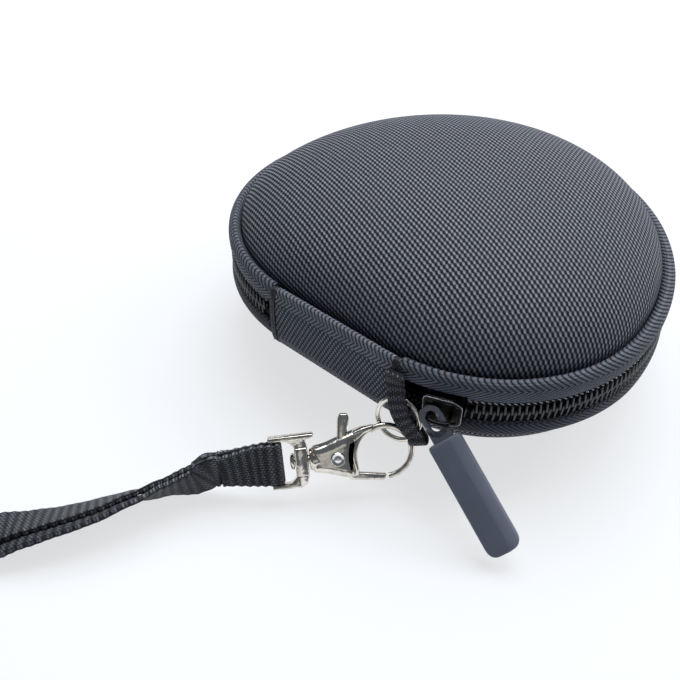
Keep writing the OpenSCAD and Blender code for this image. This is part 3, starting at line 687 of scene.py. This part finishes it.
def clothBand(name, turn, flangeFrom, body, replaces):
    outer = topLine if turn > 0 else lowLine
    section = smoothSection(outer, 26) + [(outer[-1][0] + 0.05, 6.4), (2.75, 5.4)] + smoothSection(innerLine, 7)
    flangeEnd = lastS - 1.5
    stations = [firstS + (lastS - firstS) * i / band["stations"] for i in range(band["stations"] + 1)]
    rows = [(s, 0) for s in stations if s < flangeFrom - 0.5] + [(flangeFrom - 0.01, 0), (flangeFrom, 1)]
    rows += [(s, 1) for s in stations if flangeFrom + 0.5 < s < flangeEnd - 0.5] + [(flangeEnd, 1), (flangeEnd + 0.01, 0), (lastS, 0)]
    low = c["edge"] - 0.25
    rings, cloth = [], []
    for s, whole in rows:
        ring = []
        run = 0
        for k, (off, z) in enumerate(section):
            z = z if whole else max(z, low + 0.02 * off)
            ripple = 0.06 * noise.noise(vec(s * 0.09, z * 0.25, 3 * turn)) if 4.8 < z < 8.7 and off < 1.6 else 0
            p = rimPoint(s, off - ripple)
            ring.append(vec(p.x, p.y, c["zip"] + turn * z))
            cloth.append((s, z if k < 26 else 12 + z))
        rings.append(ring)
    points, faces = skin(rings)
    if turn > 0:
        faces = [tuple(reversed(f)) for f in faces]
    # the bottom band takes the darker, painted-shade copy of the tape
    return build(name, points, faces, body, "tape", finishes["tape" if turn > 0 else "shadedTape"], replaces, cloth=cloth, sharp=50)


clothBand("topBand", 1, sliderEndS, "case_lid", ["top_zip_tape"])
clothBand("bottomBand", -1, postS, "case_base", ["bottom_zip_tape"])
print("bands sewn")

# coil teeth
coil = dict(pitch=1.6, height=4.9, front=0.35, back=1.55, reach=0.6)


def coilRow(name, turn, start, body, replaces):
    parts = []
    end = lastS - 2
    halfPitch = coil["pitch"] / 2
    for k in range(math.ceil(start / halfPitch) + 1, math.floor(end / halfPitch) - 1):
        if (k % 2 == 0) != (turn > 0):
            continue
        s = k * halfPitch
        out = rimOut(s)
        side = vec(0, 0, 1).cross(out)
        middle = rimPoint(s, 0.95)
        up = vec(0, 0, turn)
        def at(off, z, along=0.0):
            return middle + out * (0.95 - off) + side * along + up * z + vec(0, 0, c["zip"])
        # each turn of the coil: a head that meshes past the middle, and legs up to the tape
        head = -coil["reach"] + 0.1
        path = [at(1.3, 2.2, -0.16), at(0.78, 2.35, -0.16), at(0.62, 1.9, -0.12), at(0.6, 0.8, -0.05), at(0.62, head + 0.35, 0),
                at(0.95, head, 0.02), at(1.25, head + 0.3, 0.05), at(1.3, 1.0, 0.12)]
        line, _ = smoothLine(path, 16)
        parts.append(rod(line, lambda t: 0.27 + 0.1 * math.exp(-((t - 0.55) / 0.12) ** 2), 8, upHint=side))
    points, faces = join(parts)
    return build(name, points, faces, body, "coil", finishes["coil"], replaces)


coilRow("topTeeth", 1, sliderEndS, "case_lid", ["top_zip_teeth"])
coilRow("bottomTeeth", -1, postS, "case_base", ["bottom_zip_teeth"])


def stitchRow(name, spots, r, body, finish="thread"):
    points, faces = join([capsule(a, b, r, 6) for a, b in spots])
    return build(name, points, faces, body, "binding", finishes[finish])


def coilStitches(turn, start):
    spots = []
    s = start + 0.6
    while s < lastS - 3:
        out = rimOut(s)
        side = vec(0, 0, 1).cross(out)
        p = rimPoint(s, 0.72) + vec(0, 0, c["zip"] + turn * 2.95)
        spots.append((p - side * 0.42 + vec(0, 0, 0.24), p + side * 0.42 - vec(0, 0, 0.24)))
        s += 1.45
    return spots


stitchRow("topCoilStitches", coilStitches(1, sliderEndS), 0.15, "case_lid")
stitchRow("bottomCoilStitches", coilStitches(-1, postS), 0.11, "case_base", "darkThread")
print("zip coil made")

# hinge cloth: one piece from lip to lip
gussetLeft, gussetRight = hingeShift - hingeHalf, hingeShift + hingeHalf
clothLine = [(2.66, -7.8), (2.1, -8.45), (1.25, -8.75), (0.4, -8.2), (-0.25, -6.2), (-0.5, -3.2), (-0.5, 0), (-0.5, 3.2), (-0.25, 6.2),
             (0.4, 8.2), (1.25, 8.75), (2.1, 8.45), (2.66, 7.8)]


def hingeStrip(name, x0, x1, steps, proud, section, finish, slot, replaces, weaveTurn=0.0):
    outer = smoothSection(section, 44)
    inner = [(2.68, z) for z in [7.4 - 14.8 * k / 20 for k in range(21)]]
    rings, cloth = [], []
    for i in range(steps + 1):
        x = x0 + (x1 - x0) * i / steps
        ring = []
        for k, (off, z) in enumerate(outer + inner):
            o = off - (proud if off < 2 else 0)
            p = hingePoint(x, o)
            ring.append(vec(p.x, p.y, c["zip"] + z))
            ca, sa = math.cos(weaveTurn), math.sin(weaveTurn)
            cloth.append((x * ca + z * sa, -x * sa + z * ca) if k < 44 else (x, z + 30))
        rings.append(ring)
    points, faces = skin(rings)
    piece = build(name, points, faces, None, slot, finish, replaces, cloth=cloth, sharp=60)
    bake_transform(piece)
    return piece


hingeStrip("hingeCloth", gussetLeft, gussetRight, 40, 0, clothLine, finishes["oxford"], "oxford", ["hinge_cloth"], math.radians(8))
hingeStrip("leftStrip", gussetLeft - 0.15 - stripWide, gussetLeft - 0.15, 4, 0.25, clothLine, finishes["binding"], "binding", ["hinge_strips"])
hingeStrip("rightStrip", gussetRight + 0.15, gussetRight + 0.15 + stripWide, 4, 0.0, clothLine, finishes["binding"], "binding", [])
print("hinge cloth sewn")

# narrow twill edging along both lips of the hinge cloth
def clothEdging(name, turn, body):
    outer = smoothSection([(-0.36, 5.6), (-0.3, 6.2), (0.28, 8.15), (1.2, 8.9), (2.1, 8.6)], 14)
    inner = [(2.15, 8.4), (1.3, 8.6), (0.5, 8.0), (-0.1, 6.2), (-0.2, 5.7)]
    rings, cloth = [], []
    for i in range(41):
        x = gussetLeft + (gussetRight - gussetLeft) * i / 40
        for k, (off, z) in enumerate(outer + inner):
            cloth.append((x, z + (0 if k < 14 else 9)))
        rings.append([hingePoint(x, off) + vec(0, 0, c["zip"] + turn * z) for off, z in outer + inner])
    points, faces = skin(rings)
    if turn < 0:
        faces = [tuple(reversed(f)) for f in faces]
    build(name, points, faces, body, "tape", finishes["edging"], cloth=cloth, sharp=60)


clothEdging("topEdging", 1, "case_lid")
clothEdging("bottomEdging", -1, "case_base")

# two lines of stitches down each binding strip
for side, x in (("left", gussetLeft - 0.15 - stripWide / 2), ("right", gussetRight + 0.15 + stripWide / 2)):
    spots = []
    sunk = 0.3 if side == "right" else 0
    for turn in (1, -1):
        for k in range(6):
            z = turn * (1.2 + 1.15 * k)
            p = hingePoint(x, (-0.82 if z * turn < 4.2 else -0.62) + sunk) + vec(0, 0, c["zip"] + z)
            spots.append((p - vec(0.12, 0, 0.36), p + vec(0.12, 0, 0.36)))
    made = stitchRow(side + "StripStitches", spots, 0.13, None, "darkThread")
    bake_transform(made)

# ring and the webbing tab that holds it
ring = dict(centre=(24.4, -56, 17.9), face=(0.203, -0.921, 0.332), r=5.2, wire=0.58)
ringCentre = vec(ring["centre"])
ringZ = vec(ring["face"]).normalized()
ringX = ringZ.cross(vec(0, 0, 1)).normalized() * -1
ringY = ringZ.cross(ringX)
path = [ringCentre + ring["r"] * (math.cos(a) * ringX + math.sin(a) * ringY) for a in [2 * math.pi * i / 96 for i in range(96)]]
points, faces = rod(path, ring["wire"], 20, closed=True, upHint=ringZ)
build("loopRing", points, faces, "ring", "nickel", finishes["nickel"], ["loop_ring"])

tab = dict(width=4.2, thick=0.7, lean=27.2, fold=5.35, shift=3.6, middle=1.6)
lean = math.radians(tab["lean"])
tabDown = math.sin(lean) * ringX - math.cos(lean) * ringY
tabSide = math.cos(lean) * ringX + math.sin(lean) * ringY
tabLay = ring["wire"] + 0.22 + tab["thick"] / 2
tabTop = hingePoint(gussetRight + 2.1, 0) + vec(0, -0.95, c["zip"] + 6.7)


def onTab(t, n):
    across = tab["middle"] + (tab["shift"] - tab["middle"]) * max(0, min(1, (t + 1) / 5)) ** 1.3
    return ringCentre + t * tabDown + across * tabSide + n * ringZ


layer = tab["thick"] * 1.1
tabRoute = [tabTop + vec(0, -layer, 0), tabTop + vec(0.3, -0.25 - layer, -3)]
tabRoute += [onTab(-4.2, tabLay + layer), onTab(-2, tabLay + layer), onTab(1, tabLay + 0.5), onTab(4, tabLay)]
tabRoute += [onTab(tab["fold"], 0) + tabLay * (math.cos(math.radians(a)) * tabDown + math.sin(math.radians(a)) * ringZ)
             for a in (70, 40, 10, -20, -50, -80)]
tabRoute += [onTab(3.4, -tabLay), onTab(1.8, -tabLay * 0.85), onTab(0, 0), onTab(-1.8, tabLay * 0.85), onTab(-4.2, tabLay)]
tabRoute += [tabTop + vec(0.3, -0.2, -3), tabTop]
line, tabLength = smoothLine(tabRoute, 80)
tabAcross = []
for i in range(80):
    w = min(1, max(0, (min(i, 79 - i) / 79 - 0.06) / 0.16))
    tabAcross.append(vec(1, 0.08, 0) * (1 - w) + tabSide * w)
points, faces, cloth = webbingRun(line, tabAcross, tab["width"], tab["thick"], 0.22)
ringWebbing = build("ringWebbing", points, faces, None, "webbing", finishes["webbing"], ["ring_webbing"], cloth=cloth)
tuple(onTab(-3.6, 0) * mm)
tuple(onTab(2.4, 0) * mm)
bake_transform(ringWebbing)
print("ring hung, tab", round(tabLength), "mm")


# metal and rubber pieces, each in its own flat frame
def rounded(corners, r, n=5):  # a closed outline with its corners rounded
    out = []
    for i, (x, y) in enumerate(corners):
        here = vec(x, y, 0)
        back, on = vec(*corners[i - 1], 0) - here, vec(*corners[(i + 1) % len(corners)], 0) - here
        cut = min(r, back.length * 0.45, on.length * 0.45)
        a, b = here + back.normalized() * cut, here + on.normalized() * cut
        for k in range(n + 1):
            t = k / n
            p = a * (1 - t) ** 2 + here * (2 * t * (1 - t)) + b * t * t
            out.append((p.x, p.y))
    return out


def inset(outline, d):
    area = sum(a[0] * b[1] - b[0] * a[1] for a, b in zip(outline, outline[1:] + outline[:1]))
    sign = 1 if area > 0 else -1
    out = []
    for i, p in enumerate(outline):
        a, b = outline[i - 1], outline[(i + 1) % len(outline)]
        t = vec(b[0] - a[0], b[1] - a[1], 0).normalized()
        out.append((p[0] - sign * t.y * d, p[1] + sign * t.x * d))
    return out


def plate(outline, low, high, soft, at):  # a flat piece with softened edges
    steps = [(soft, low), (soft * 0.29, low + soft * 0.29), (0, low + soft), (0, high - soft), (soft * 0.29, high - soft * 0.29), (soft, high)]
    rings = [[at(x, y, z) for x, y in inset(outline, d)] for d, z in steps]
    return skin(rings)


def turned(profile, at, sides=28):  # round piece: (radius, height) up an axis
    rings = [[at(r * math.cos(2 * math.pi * k / sides), r * math.sin(2 * math.pi * k / sides), h) for k in range(sides)] for r, h in profile]
    return skin(rings)


# slider: outer plate, inner plate, wedge and side walls, then the crown that holds the pull
slider = dict(angle=21.9, length=9.2, height=8, plate=1.6, gap=2.8, crown=4.2)
turnS = math.radians(slider["angle"])
sliderX, sliderY = vec(math.cos(turnS), math.sin(turnS), 0), vec(-math.sin(turnS), math.cos(turnS), 0)
sliderAt = vec(c["flat"] / 2, cornerY, c["zip"]) - sliderY * cornerR


def onSlider(x, y, z):
    return sliderAt + sliderX * x + sliderY * y + vec(0, 0, z)


def sliderOutline(length, front, back):
    corners = [(-length / 2, front / 2), (-length / 2, -front / 2), (length / 2 - 2.2, -front / 2), (length / 2, -back / 2 + 0.3),
               (length / 2, back / 2 - 0.3), (length / 2 - 2.2, front / 2)]
    return rounded(corners, 1.1)


def outerFace(x, y, z):  # the outer plate swells a little in the middle
    swell = 0.28 * max(0, 1 - (x / 4.6) ** 2) * max(0, 1 - (y / 4) ** 2) * max(0, min(1, (z - 0.8) / 0.8))
    return onSlider(x, -(z + swell), y)


rims = [sliderOutline(slider["length"], 8, 6.7)]
steps = [(0.45, 0.0), (0.1, 0.12), (0, 0.45), (0, 1.1), (0.14, 1.42), (0.5, 1.58), (0.8, 1.6), (1.0, 1.5), (1.4, 1.46), (2.4, 1.5)]
rings = [[outerFace(x, y, z) for x, y in inset(rims[0], d)] for d, z in steps]
parts = [skin(rings)]
parts.append(plate(sliderOutline(8.8, 7.4, 6.1), 0, 1.1, 0.3, lambda x, y, z: onSlider(x, 2.95 + z, y)))
parts.append(plate(rounded([(-4.3, 0), (-3.5, 0.7), (-2.6, 0), (-3.5, -0.7)], 0.2), 2.05, 2.98, 0.05, lambda x, y, z: onSlider(x, z, y)))
for turn in (1, -1):
    wall = [(-4.4, 3.55 * turn), (-4.4, 2.75 * turn), (4.4, 2.7 * turn), (4.4, 3.0 * turn), (2.4, 3.55 * turn)]
    parts.append(plate(rounded(wall, 0.2), -0.05, 0.4, 0.1, lambda x, y, z: onSlider(x, z, y)))
points, faces = join(parts)
build("sliderBody", points, faces, "zip_slider", "black_enamel", finishes["enamel"], ["slider_body"], sharp=50)

# a lighter metal bead round the outer plate's edge: a painted highlight for the plate's bright edge line
edgeLine = [outerFace(x, y, 1.43) for x, y in inset(rims[0], 0.16)]
points, faces = rod(edgeLine, 0.11, 8, closed=True, upHint=(sliderX.cross(vec(0, 0, 1)) * -1))
build("sliderEdgeHighlight", points, faces, "zip_slider", "black_enamel", finishes["gunmetal"])

crownTop = slider["plate"] + slider["gap"] + 0.4
half2 = slider["crown"] / 2
arch = [vec(-half2, -1.45, 0), vec(-half2, -2.6, 0), vec(-half2, -crownTop + 0.75, 0), vec(-half2 + 0.15, -crownTop + 0.2, 0),
        vec(-half2 + 0.7, -crownTop, 0), vec(0, -crownTop - 0.12, 0), vec(half2 - 0.7, -crownTop, 0), vec(half2 - 0.15, -crownTop + 0.2, 0),
        vec(half2, -crownTop + 0.75, 0), vec(half2, -2.6, 0), vec(half2, -1.45, 0)]
line, _ = smoothLine(arch, 44)
points, faces = rod([onSlider(p.x, p.y, p.z) for p in line], 0.4, 14, flatten=1.35, upHint=(sliderX.cross(vec(0, 0, 1)) * -1))
build("sliderCrown", points, faces, "zip_slider", "black_enamel", finishes["enamel"], ["slider_crown"])

# pull: a stamped link through the crown and a moulded grip
pull = dict(width=5.4, thick=0.75, wall=1.5, back=-0.95, hole=2.4, show=6.1, grip=27.5)
px = vec(0.681, -0.481, -0.552).normalized()
py = vec(0.732, 0.422, 0.535)
py = (py - py.dot(px) * px).normalized()
pz = px.cross(py)


def onPull(x, y, z):
    q = vec(-half2, -slider["plate"] - 0.6 * slider["gap"], 0) + px * x + py * y + pz * z
    return onSlider(q.x, q.y, q.z)


holeR = pull["width"] / 2 - pull["wall"]
midR = holeR + pull["wall"] / 2
x0, x1 = pull["back"] + holeR, pull["back"] + holeR + pull["hole"]
loop = [(x0 - midR * math.cos(a), midR * math.sin(a)) for a in [math.pi * (k / 20 - 0.5) for k in range(21)]]
loop += [(x0 + (x1 - x0) * k / 8, midR) for k in range(1, 8)]
loop += [(x1 + midR * math.cos(a), midR * math.sin(a)) for a in [math.pi * (0.5 - k / 20) for k in range(21)]]
loop += [(x1 - (x1 - x0) * k / 8, -midR) for k in range(1, 8)]
w, t = pull["wall"] / 2, pull["thick"] / 2
edge = [(-w, -t + 0.14), (-w + 0.14, -t), (w - 0.14, -t), (w, -t + 0.14), (w, t - 0.14), (w - 0.14, t), (-w + 0.14, t), (-w, t - 0.14)]
rings = []
for i, p in enumerate(loop):
    a, b = loop[i - 1], loop[(i + 1) % len(loop)]
    d = vec(b[0] - a[0], b[1] - a[1], 0).normalized()
    rings.append([onPull(p[0] + d.y * u, p[1] - d.x * u, v) for u, v in edge])
rings.append(rings[0])
parts = [skin(rings, caps=False)]
tongue = [(x1 + 0.3, -2.5)] + [(x1 + (holeR + 0.02) * math.cos(a), (holeR + 0.02) * math.sin(a)) for a in [math.pi * (k / 12 - 0.5) for k in range(2, 11)]]
tongue += [(x1 + 0.3, 2.5), (pull["show"] + 3.6, 2.5), (pull["show"] + 3.6, -2.5)]
parts.append(plate(tongue, -t, t, 0.1, onPull))
points, faces = join(parts)
build("pullLink", points, faces, "zip_pull", "gunmetal", finishes["gunmetal"], ["pull_link"], sharp=45)

section = [(-3.85, -1.0), (-3.85, 1.35), (-3.75, 1.65), (-3.5, 1.85), (-3.1, 1.9), (0, 1.9), (1.15, 1.9), (1.5, 1.84), (3.45, 0.95), (3.75, 0.6),
           (3.85, 0.1), (3.85, -1.0), (3.7, -1.5), (3.3, -1.8), (2.9, -1.9), (-2.9, -1.9), (-3.3, -1.8), (-3.7, -1.5)]
gripEnd = pull["show"] + pull["grip"]
rings = []
for x, s in [(0, 0.9), (0.12, 0.95), (0.35, 0.985), (0.8, 1)] + [(1.5 + k * 2.1, 1) for k in range(11)]:
    rings.append([onPull(pull["show"] + x, y * s, z * (s * 2 - 1)) for y, z in section])
for k in range(0, 11):
    a = math.pi / 2 * k / 10
    x = gripEnd - 3 + 3 * math.sin(a)
    s = 1 - 0.62 * (1 - math.cos(a)) ** 1.25
    thin = 1 - 0.45 * (k / 10) ** 4
    rings.append([onPull(x, y * s, z * thin) for y, z in section])
points, faces = skin(rings)
build("pullGrip", points, faces, "zip_pull", "rubber_grip", finishes["rubber"], ["pull_grip"], sharp=38)
print("slider and pull made")

# trigger hook: eye wire that swells into two cheeks and a barrel
hook = dict(eye=6.1, wire=0.68, cheek=(0.9, 2.1), rivet=11, end=17.5)
arc = [vec(hook["eye"] * math.cos(a), hook["eye"] * math.sin(a), 0) for a in [math.radians(92.5 + 207.5 * k / 60) for k in range(61)]]
parts = [rod([onHook(p.x, p.y, p.z) for p in arc], lambda t: hook["wire"] + 0.04 * t, 20, upHint=hookZ)]


def neckSize(x):  # the body thins down to the wire
    return min(1, 0.36 + 0.64 * max(0, (x - 2.6) / 6.4) ** 0.8)


def domed(outline, low, high, at):  # a plate with broad soft shoulders and a slightly domed front
    steps = [(0.3, low), (0, low + 0.3), (0, high - 0.8), (0.1, high - 0.5), (0.3, high - 0.2), (0.6, high + 0.03), (1.0, high + 0.2), (1.35, high + 0.28),
             (1.6, high + 0.3), (1.9, high + 0.3)]
    return skin([[at(x, y, z) for x, y in inset(outline, d)] for d, z in steps])


cheek = rounded([(6.6, -5.75), (9.4, -4.8), (14.1, -3.15), (17.0, -2.8), (17.0, 2.8), (14.1, 3.3), (9.2, 4.95), (7.1, 4.95), (6.7, 3.4), (7.15, 0.4),
                 (6.6, -2.6), (5.6, -4.1)], 1.2, 6)
parts.append(domed(cheek, 0.9, 2.0, lambda x, y, z: onHook(x, y, z * neckSize(x))))
parts.append(domed(cheek, 0.9, 2.0, lambda x, y, z: onHook(x, y, -z * neckSize(x))))
neck = rounded([(2.2, -6.62), (5, -6.25), (7.2, -5.6), (6.9, -3.6), (6.2, -3.4), (4.5, -4.95), (2.3, -5.5)], 0.3, 3)
parts.append(plate(neck, -1.9, 1.9, 0.4, lambda x, y, z: onHook(x, y, z * neckSize(x))))
rim = [(3.0, -5.5, 0.1), (4.6, -4.75, 0.55), (5.8, -3.6, 1.15), (6.6, -2.2, 1.6), (7.05, -0.5, 1.8), (7.1, 1.2, 1.85), (6.85, 2.9, 1.85), (7.0, 4.3, 1.7)]
for turn in (1, -1):
    line, _ = smoothLine([vec(x, y, z * turn) for x, y, z in rim], 40)
    parts.append(rod([onHook(p.x, p.y, p.z) for p in line], lambda t: 0.42 + 0.14 * math.sin(math.pi * t), 14, upHint=hookZ))
barrel = [(0.0, 14.2), (2.2, 14.25), (2.55, 14.6), (2.75, 15.4), (2.8, 16.6), (2.66, 17.2), (2.3, 17.48), (1.3, 17.5), (0, 17.5)]
parts.append(turned(barrel, lambda a, b, h: onHook(h, a, b * 0.86), 32))
points, faces = join(parts)
build("hookBody", points, faces, "hook", "nickel", finishes["nickel"], ["hook_body"], sharp=70)

lever = rounded([(9.2, -2), (7.5, -8.8), (7.8, -9.9), (9.6, -10.1), (10.2, -9.1), (10.9, -3.4), (11.8, -2.0), (12.6, -0.5), (12.7, 1.6), (10, 2.4), (8.8, 5.8), (0.95, 6.9),
                 (0.45, 6.4), (0.15, 5.45), (6.9, 4.3), (8.3, 1.6)], 0.5, 5)
parts = [plate(lever, -0.75, 0.75, 0.3, onHook)]
points, faces = join(parts)
build("hookLever", points, faces, "trigger", "nickel", finishes["nickel"], ["hook_lever"], sharp=50)

rivet = [(0, -2.62), (1.3, -2.6), (1.65, -2.4), (1.7, -2.1), (0.9, -2.1), (0.9, 2.1), (1.7, 2.1), (1.72, 2.42), (1.5, 2.66), (1.2, 2.62), (1.0, 2.42),
         (0.8, 2.4), (0.62, 2.52), (0.3, 2.58), (0, 2.6)]
points, faces = turned(rivet, lambda a, b, h: onHook(hook["rivet"] + a, b, h))
build("leverRivet", points, faces, "hook", "nickel", finishes["brightRivet"], ["lever_rivet"], sharp=50)

postHead = hook["end"] + 0.3 + 3 + 0.2
post = [(0, 14.95), (1.1, 14.95), (1.1, postHead), (1.75, postHead + 0.02), (2.0, postHead + 0.25), (1.85, postHead + 0.7), (1.3, postHead + 0.95),
        (0, postHead + 1.0)]
points, faces = turned(post, lambda a, b, h: onHook(h, a, b))
build("swivelPost", points, faces, "hook", "nickel", finishes["nickel"], ["swivel_post"], sharp=50)

bail = dict(start=17.8, block=20.8, bar=25.8, inner=5.15, outer=6.25)
fork = [(17.8, -3.5), (18.2, -5.1), (16.2, -5.5), (16.0, -6.1), (16.6, -6.3), (26.5, -6.25), (26.7, -5.7), (26.4, -5.15), (22.3, -5.15), (20.8, -3.7), (20.8, 3.7), (22.3, 5.15),
        (26.4, 5.15), (26.7, 5.7), (26.5, 6.25), (19.8, 6.25), (18.6, 5.6), (17.8, 3.5)]
parts = [plate(rounded(fork, 0.5, 4), -1.2, 1.2, 0.28, onHook)]
block = rounded([(17.8, -3.4), (20.8, -3.4), (20.8, 3.4), (17.8, 3.4)], 0.5)
parts.append(plate(block, -1.9, 1.9, 0.45, onHook))
parts.append(rod([onHook(bail["bar"], y, 0) for y in (-5.6, -3, 0, 3, 5.6)], 0.8, 20))
points, faces = join(parts)
build("strapBail", points, faces, "bail", "nickel", finishes["nickel"], ["strap_bail"], sharp=50)

# sewn end of the strap: round the bar and doubled back, with a bar tack of two rows on each face
fold = [(12.4, -0.67), (9, -0.67), (5.5, -0.7), (3.2, -0.9), (1.4, -1.42), (0, -1.62), (-1.15, -1.15), (-1.62, 0), (-1.15, 1.15), (0, 1.62),
        (1.4, 1.42), (3.2, 0.9), (5.5, 0.7), (9, 0.67), (12.4, 0.67)]
foldWide = leaning(hookX, foldLean)
line, across = [], []
for x, z in fold:  # the two layers start along the bar and lean over towards the tack
    k = min(max((x - 1.5) / 10.9, 0), 1)
    wide = (hookY * -1).lerp(foldWide, k * k * (3 - 2 * k)).normalized()
    line.append(onHook(bail["bar"] + x, 0, 0) + wide.cross(hookX * -1).normalized() * -z)
    across.append(wide)
foldLine = line
line, _ = smoothLine(line, 160)
marks = [0]
for a, b in zip(foldLine, foldLine[1:]):
    marks.append(marks[-1] + (b - a).length)
wides = []
j = 0
for i in range(160):
    here = marks[-1] * i / 159
    while j < len(marks) - 2 and marks[j + 1] < here:
        j += 1
    wides.append(across[j].lerp(across[j + 1], min(max((here - marks[j]) / (marks[j + 1] - marks[j]), 0), 1)))
points, faces, cloth = webbingRun(line, wides, strap["width"], strap["thick"], scallop=0.3)
build("strapFold", points, faces, "strap", "webbing", finishes["webbing"], ["strap_fold"], cloth=cloth)
def onFold(x, y, side):  # a point on the outer face of the sewn end
    k = min(max((x - 1.5) / 10.9, 0), 1)
    wide = (hookY * -1).lerp(foldWide, k * k * (3 - 2 * k)).normalized()
    return onHook(bail["bar"] + x, 0, 0) + wide.cross(hookX * -1).normalized() * side * 1.4 + wide * y


spots = []
for side in (1, -1):
    for k in range(15):
        y = -4.5 + 9 * k / 14
        spots.append((onFold(10.6, y, side), onFold(11.6, y + 0.3, side)))
        spots.append((onFold(11.7, y - 0.1, side), onFold(12.4, y + 0.25, side)))
stitchRow("foldStitches", spots, 0.14, "strap", "darkThread")
print("hook and strap end made")

# the small spring stays as it is, under the lever
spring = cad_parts["lever_spring"]
spring.data.materials.clear()
spring.data.materials.append(finishes["nickel"])

# floor and light
floor = Finish("paleFloor", Roughness=0.9, Specular_IOR_Level=0.1)
floor.feed("Base Color", floor.blend(floor.noise(0.004, 2.0), (0.85, 0.9, 0.97), (0.88, 0.92, 0.98)))
rays = floor.node("LightPath")
seenRay = rays.most(Wire(floor, rays.socket.node.outputs["Is Glossy Ray"])).most(Wire(floor, rays.socket.node.outputs["Is Transmission Ray"]))
glow = floor.node("Emission", sockets={"Color": (0.985, 0.992, 1, 1)})
mixed = floor.node("MixShader", sockets={0: seenRay * 0.7, 2: glow})
floor.tree.links.new(floor.shader.outputs[0], mixed.socket.node.inputs[1])
floor.tree.links.new(mixed.socket, floor.tree.nodes["Material Output"].inputs[0])
ground = build("studioFloor", [vec(x, y, 0) for x, y in ((-3000, -3000), (3000, -3000), (3000, 3000), (-3000, 3000))], [(0, 1, 2, 3)],
               None, None, floor.mat, smooth=False)


def softLight(name, at, to, size, power, colour=(1, 1, 1)):
    lamp = bpy.data.lights.new(name, "AREA")
    lamp.shape, lamp.size, lamp.energy, lamp.color = "DISK", size, power, colour
    made = bpy.data.objects.new(name, lamp)
    made.location = vec(at)
    made.rotation_euler = (vec(to) - vec(at)).to_track_quat("-Z", "Y").to_euler()
    bpy.context.scene.collection.objects.link(made)


softLight("overheadLight", (-0.22, 0.62, 0.95), (0, 0, 0), 1.1, 16, (0.95, 0.98, 1))
softLight("keyLight", (0.5, 0.95, 0.8), (0, 0, 0), 0.45, 5.5)
softLight("leftLight", (-0.75, 0.2, 0.9), (0, 0, 0), 0.5, 2, (0.88, 0.94, 1))
# dim cards that only the bright metal shows
softLight("frontCard", (0.83, -0.9, 0.42), (0.02, -0.07, 0), 0.5, 0.26, (1, 0.97, 0.92))
softLight("upperCard", (-0.3, 0.15, 1.1), (0, -0.06, 0), 0.6, 1.0)

world = bpy.data.worlds.new("studio")
bpy.context.scene.world = world
world.use_nodes = True
tree = world.node_tree
tree.nodes.clear()
path = tree.nodes.new("ShaderNodeLightPath")
low, high, mixed = (tree.nodes.new("ShaderNodeBackground"), tree.nodes.new("ShaderNodeBackground"), tree.nodes.new("ShaderNodeMixShader"))
low.inputs[0].default_value, low.inputs[1].default_value = (0.78, 0.87, 1, 1), 0.15
high.inputs[0].default_value, high.inputs[1].default_value = (1, 1, 1, 1), 1.0
seen = tree.nodes.new("ShaderNodeMath")
seen.operation = "MAXIMUM"
tree.links.new(path.outputs["Is Camera Ray"], seen.inputs[0])
tree.links.new(path.outputs["Is Transmission Ray"], seen.inputs[1])
tree.links.new(seen.outputs[0], mixed.inputs[0])
tree.links.new(low.outputs[0], mixed.inputs[1])
tree.links.new(high.outputs[0], mixed.inputs[2])
tree.links.new(mixed.outputs[0], tree.nodes.new("ShaderNodeOutputWorld").inputs[0])
bpy.context.scene.view_settings.view_transform = "Standard"

print("scene ready")
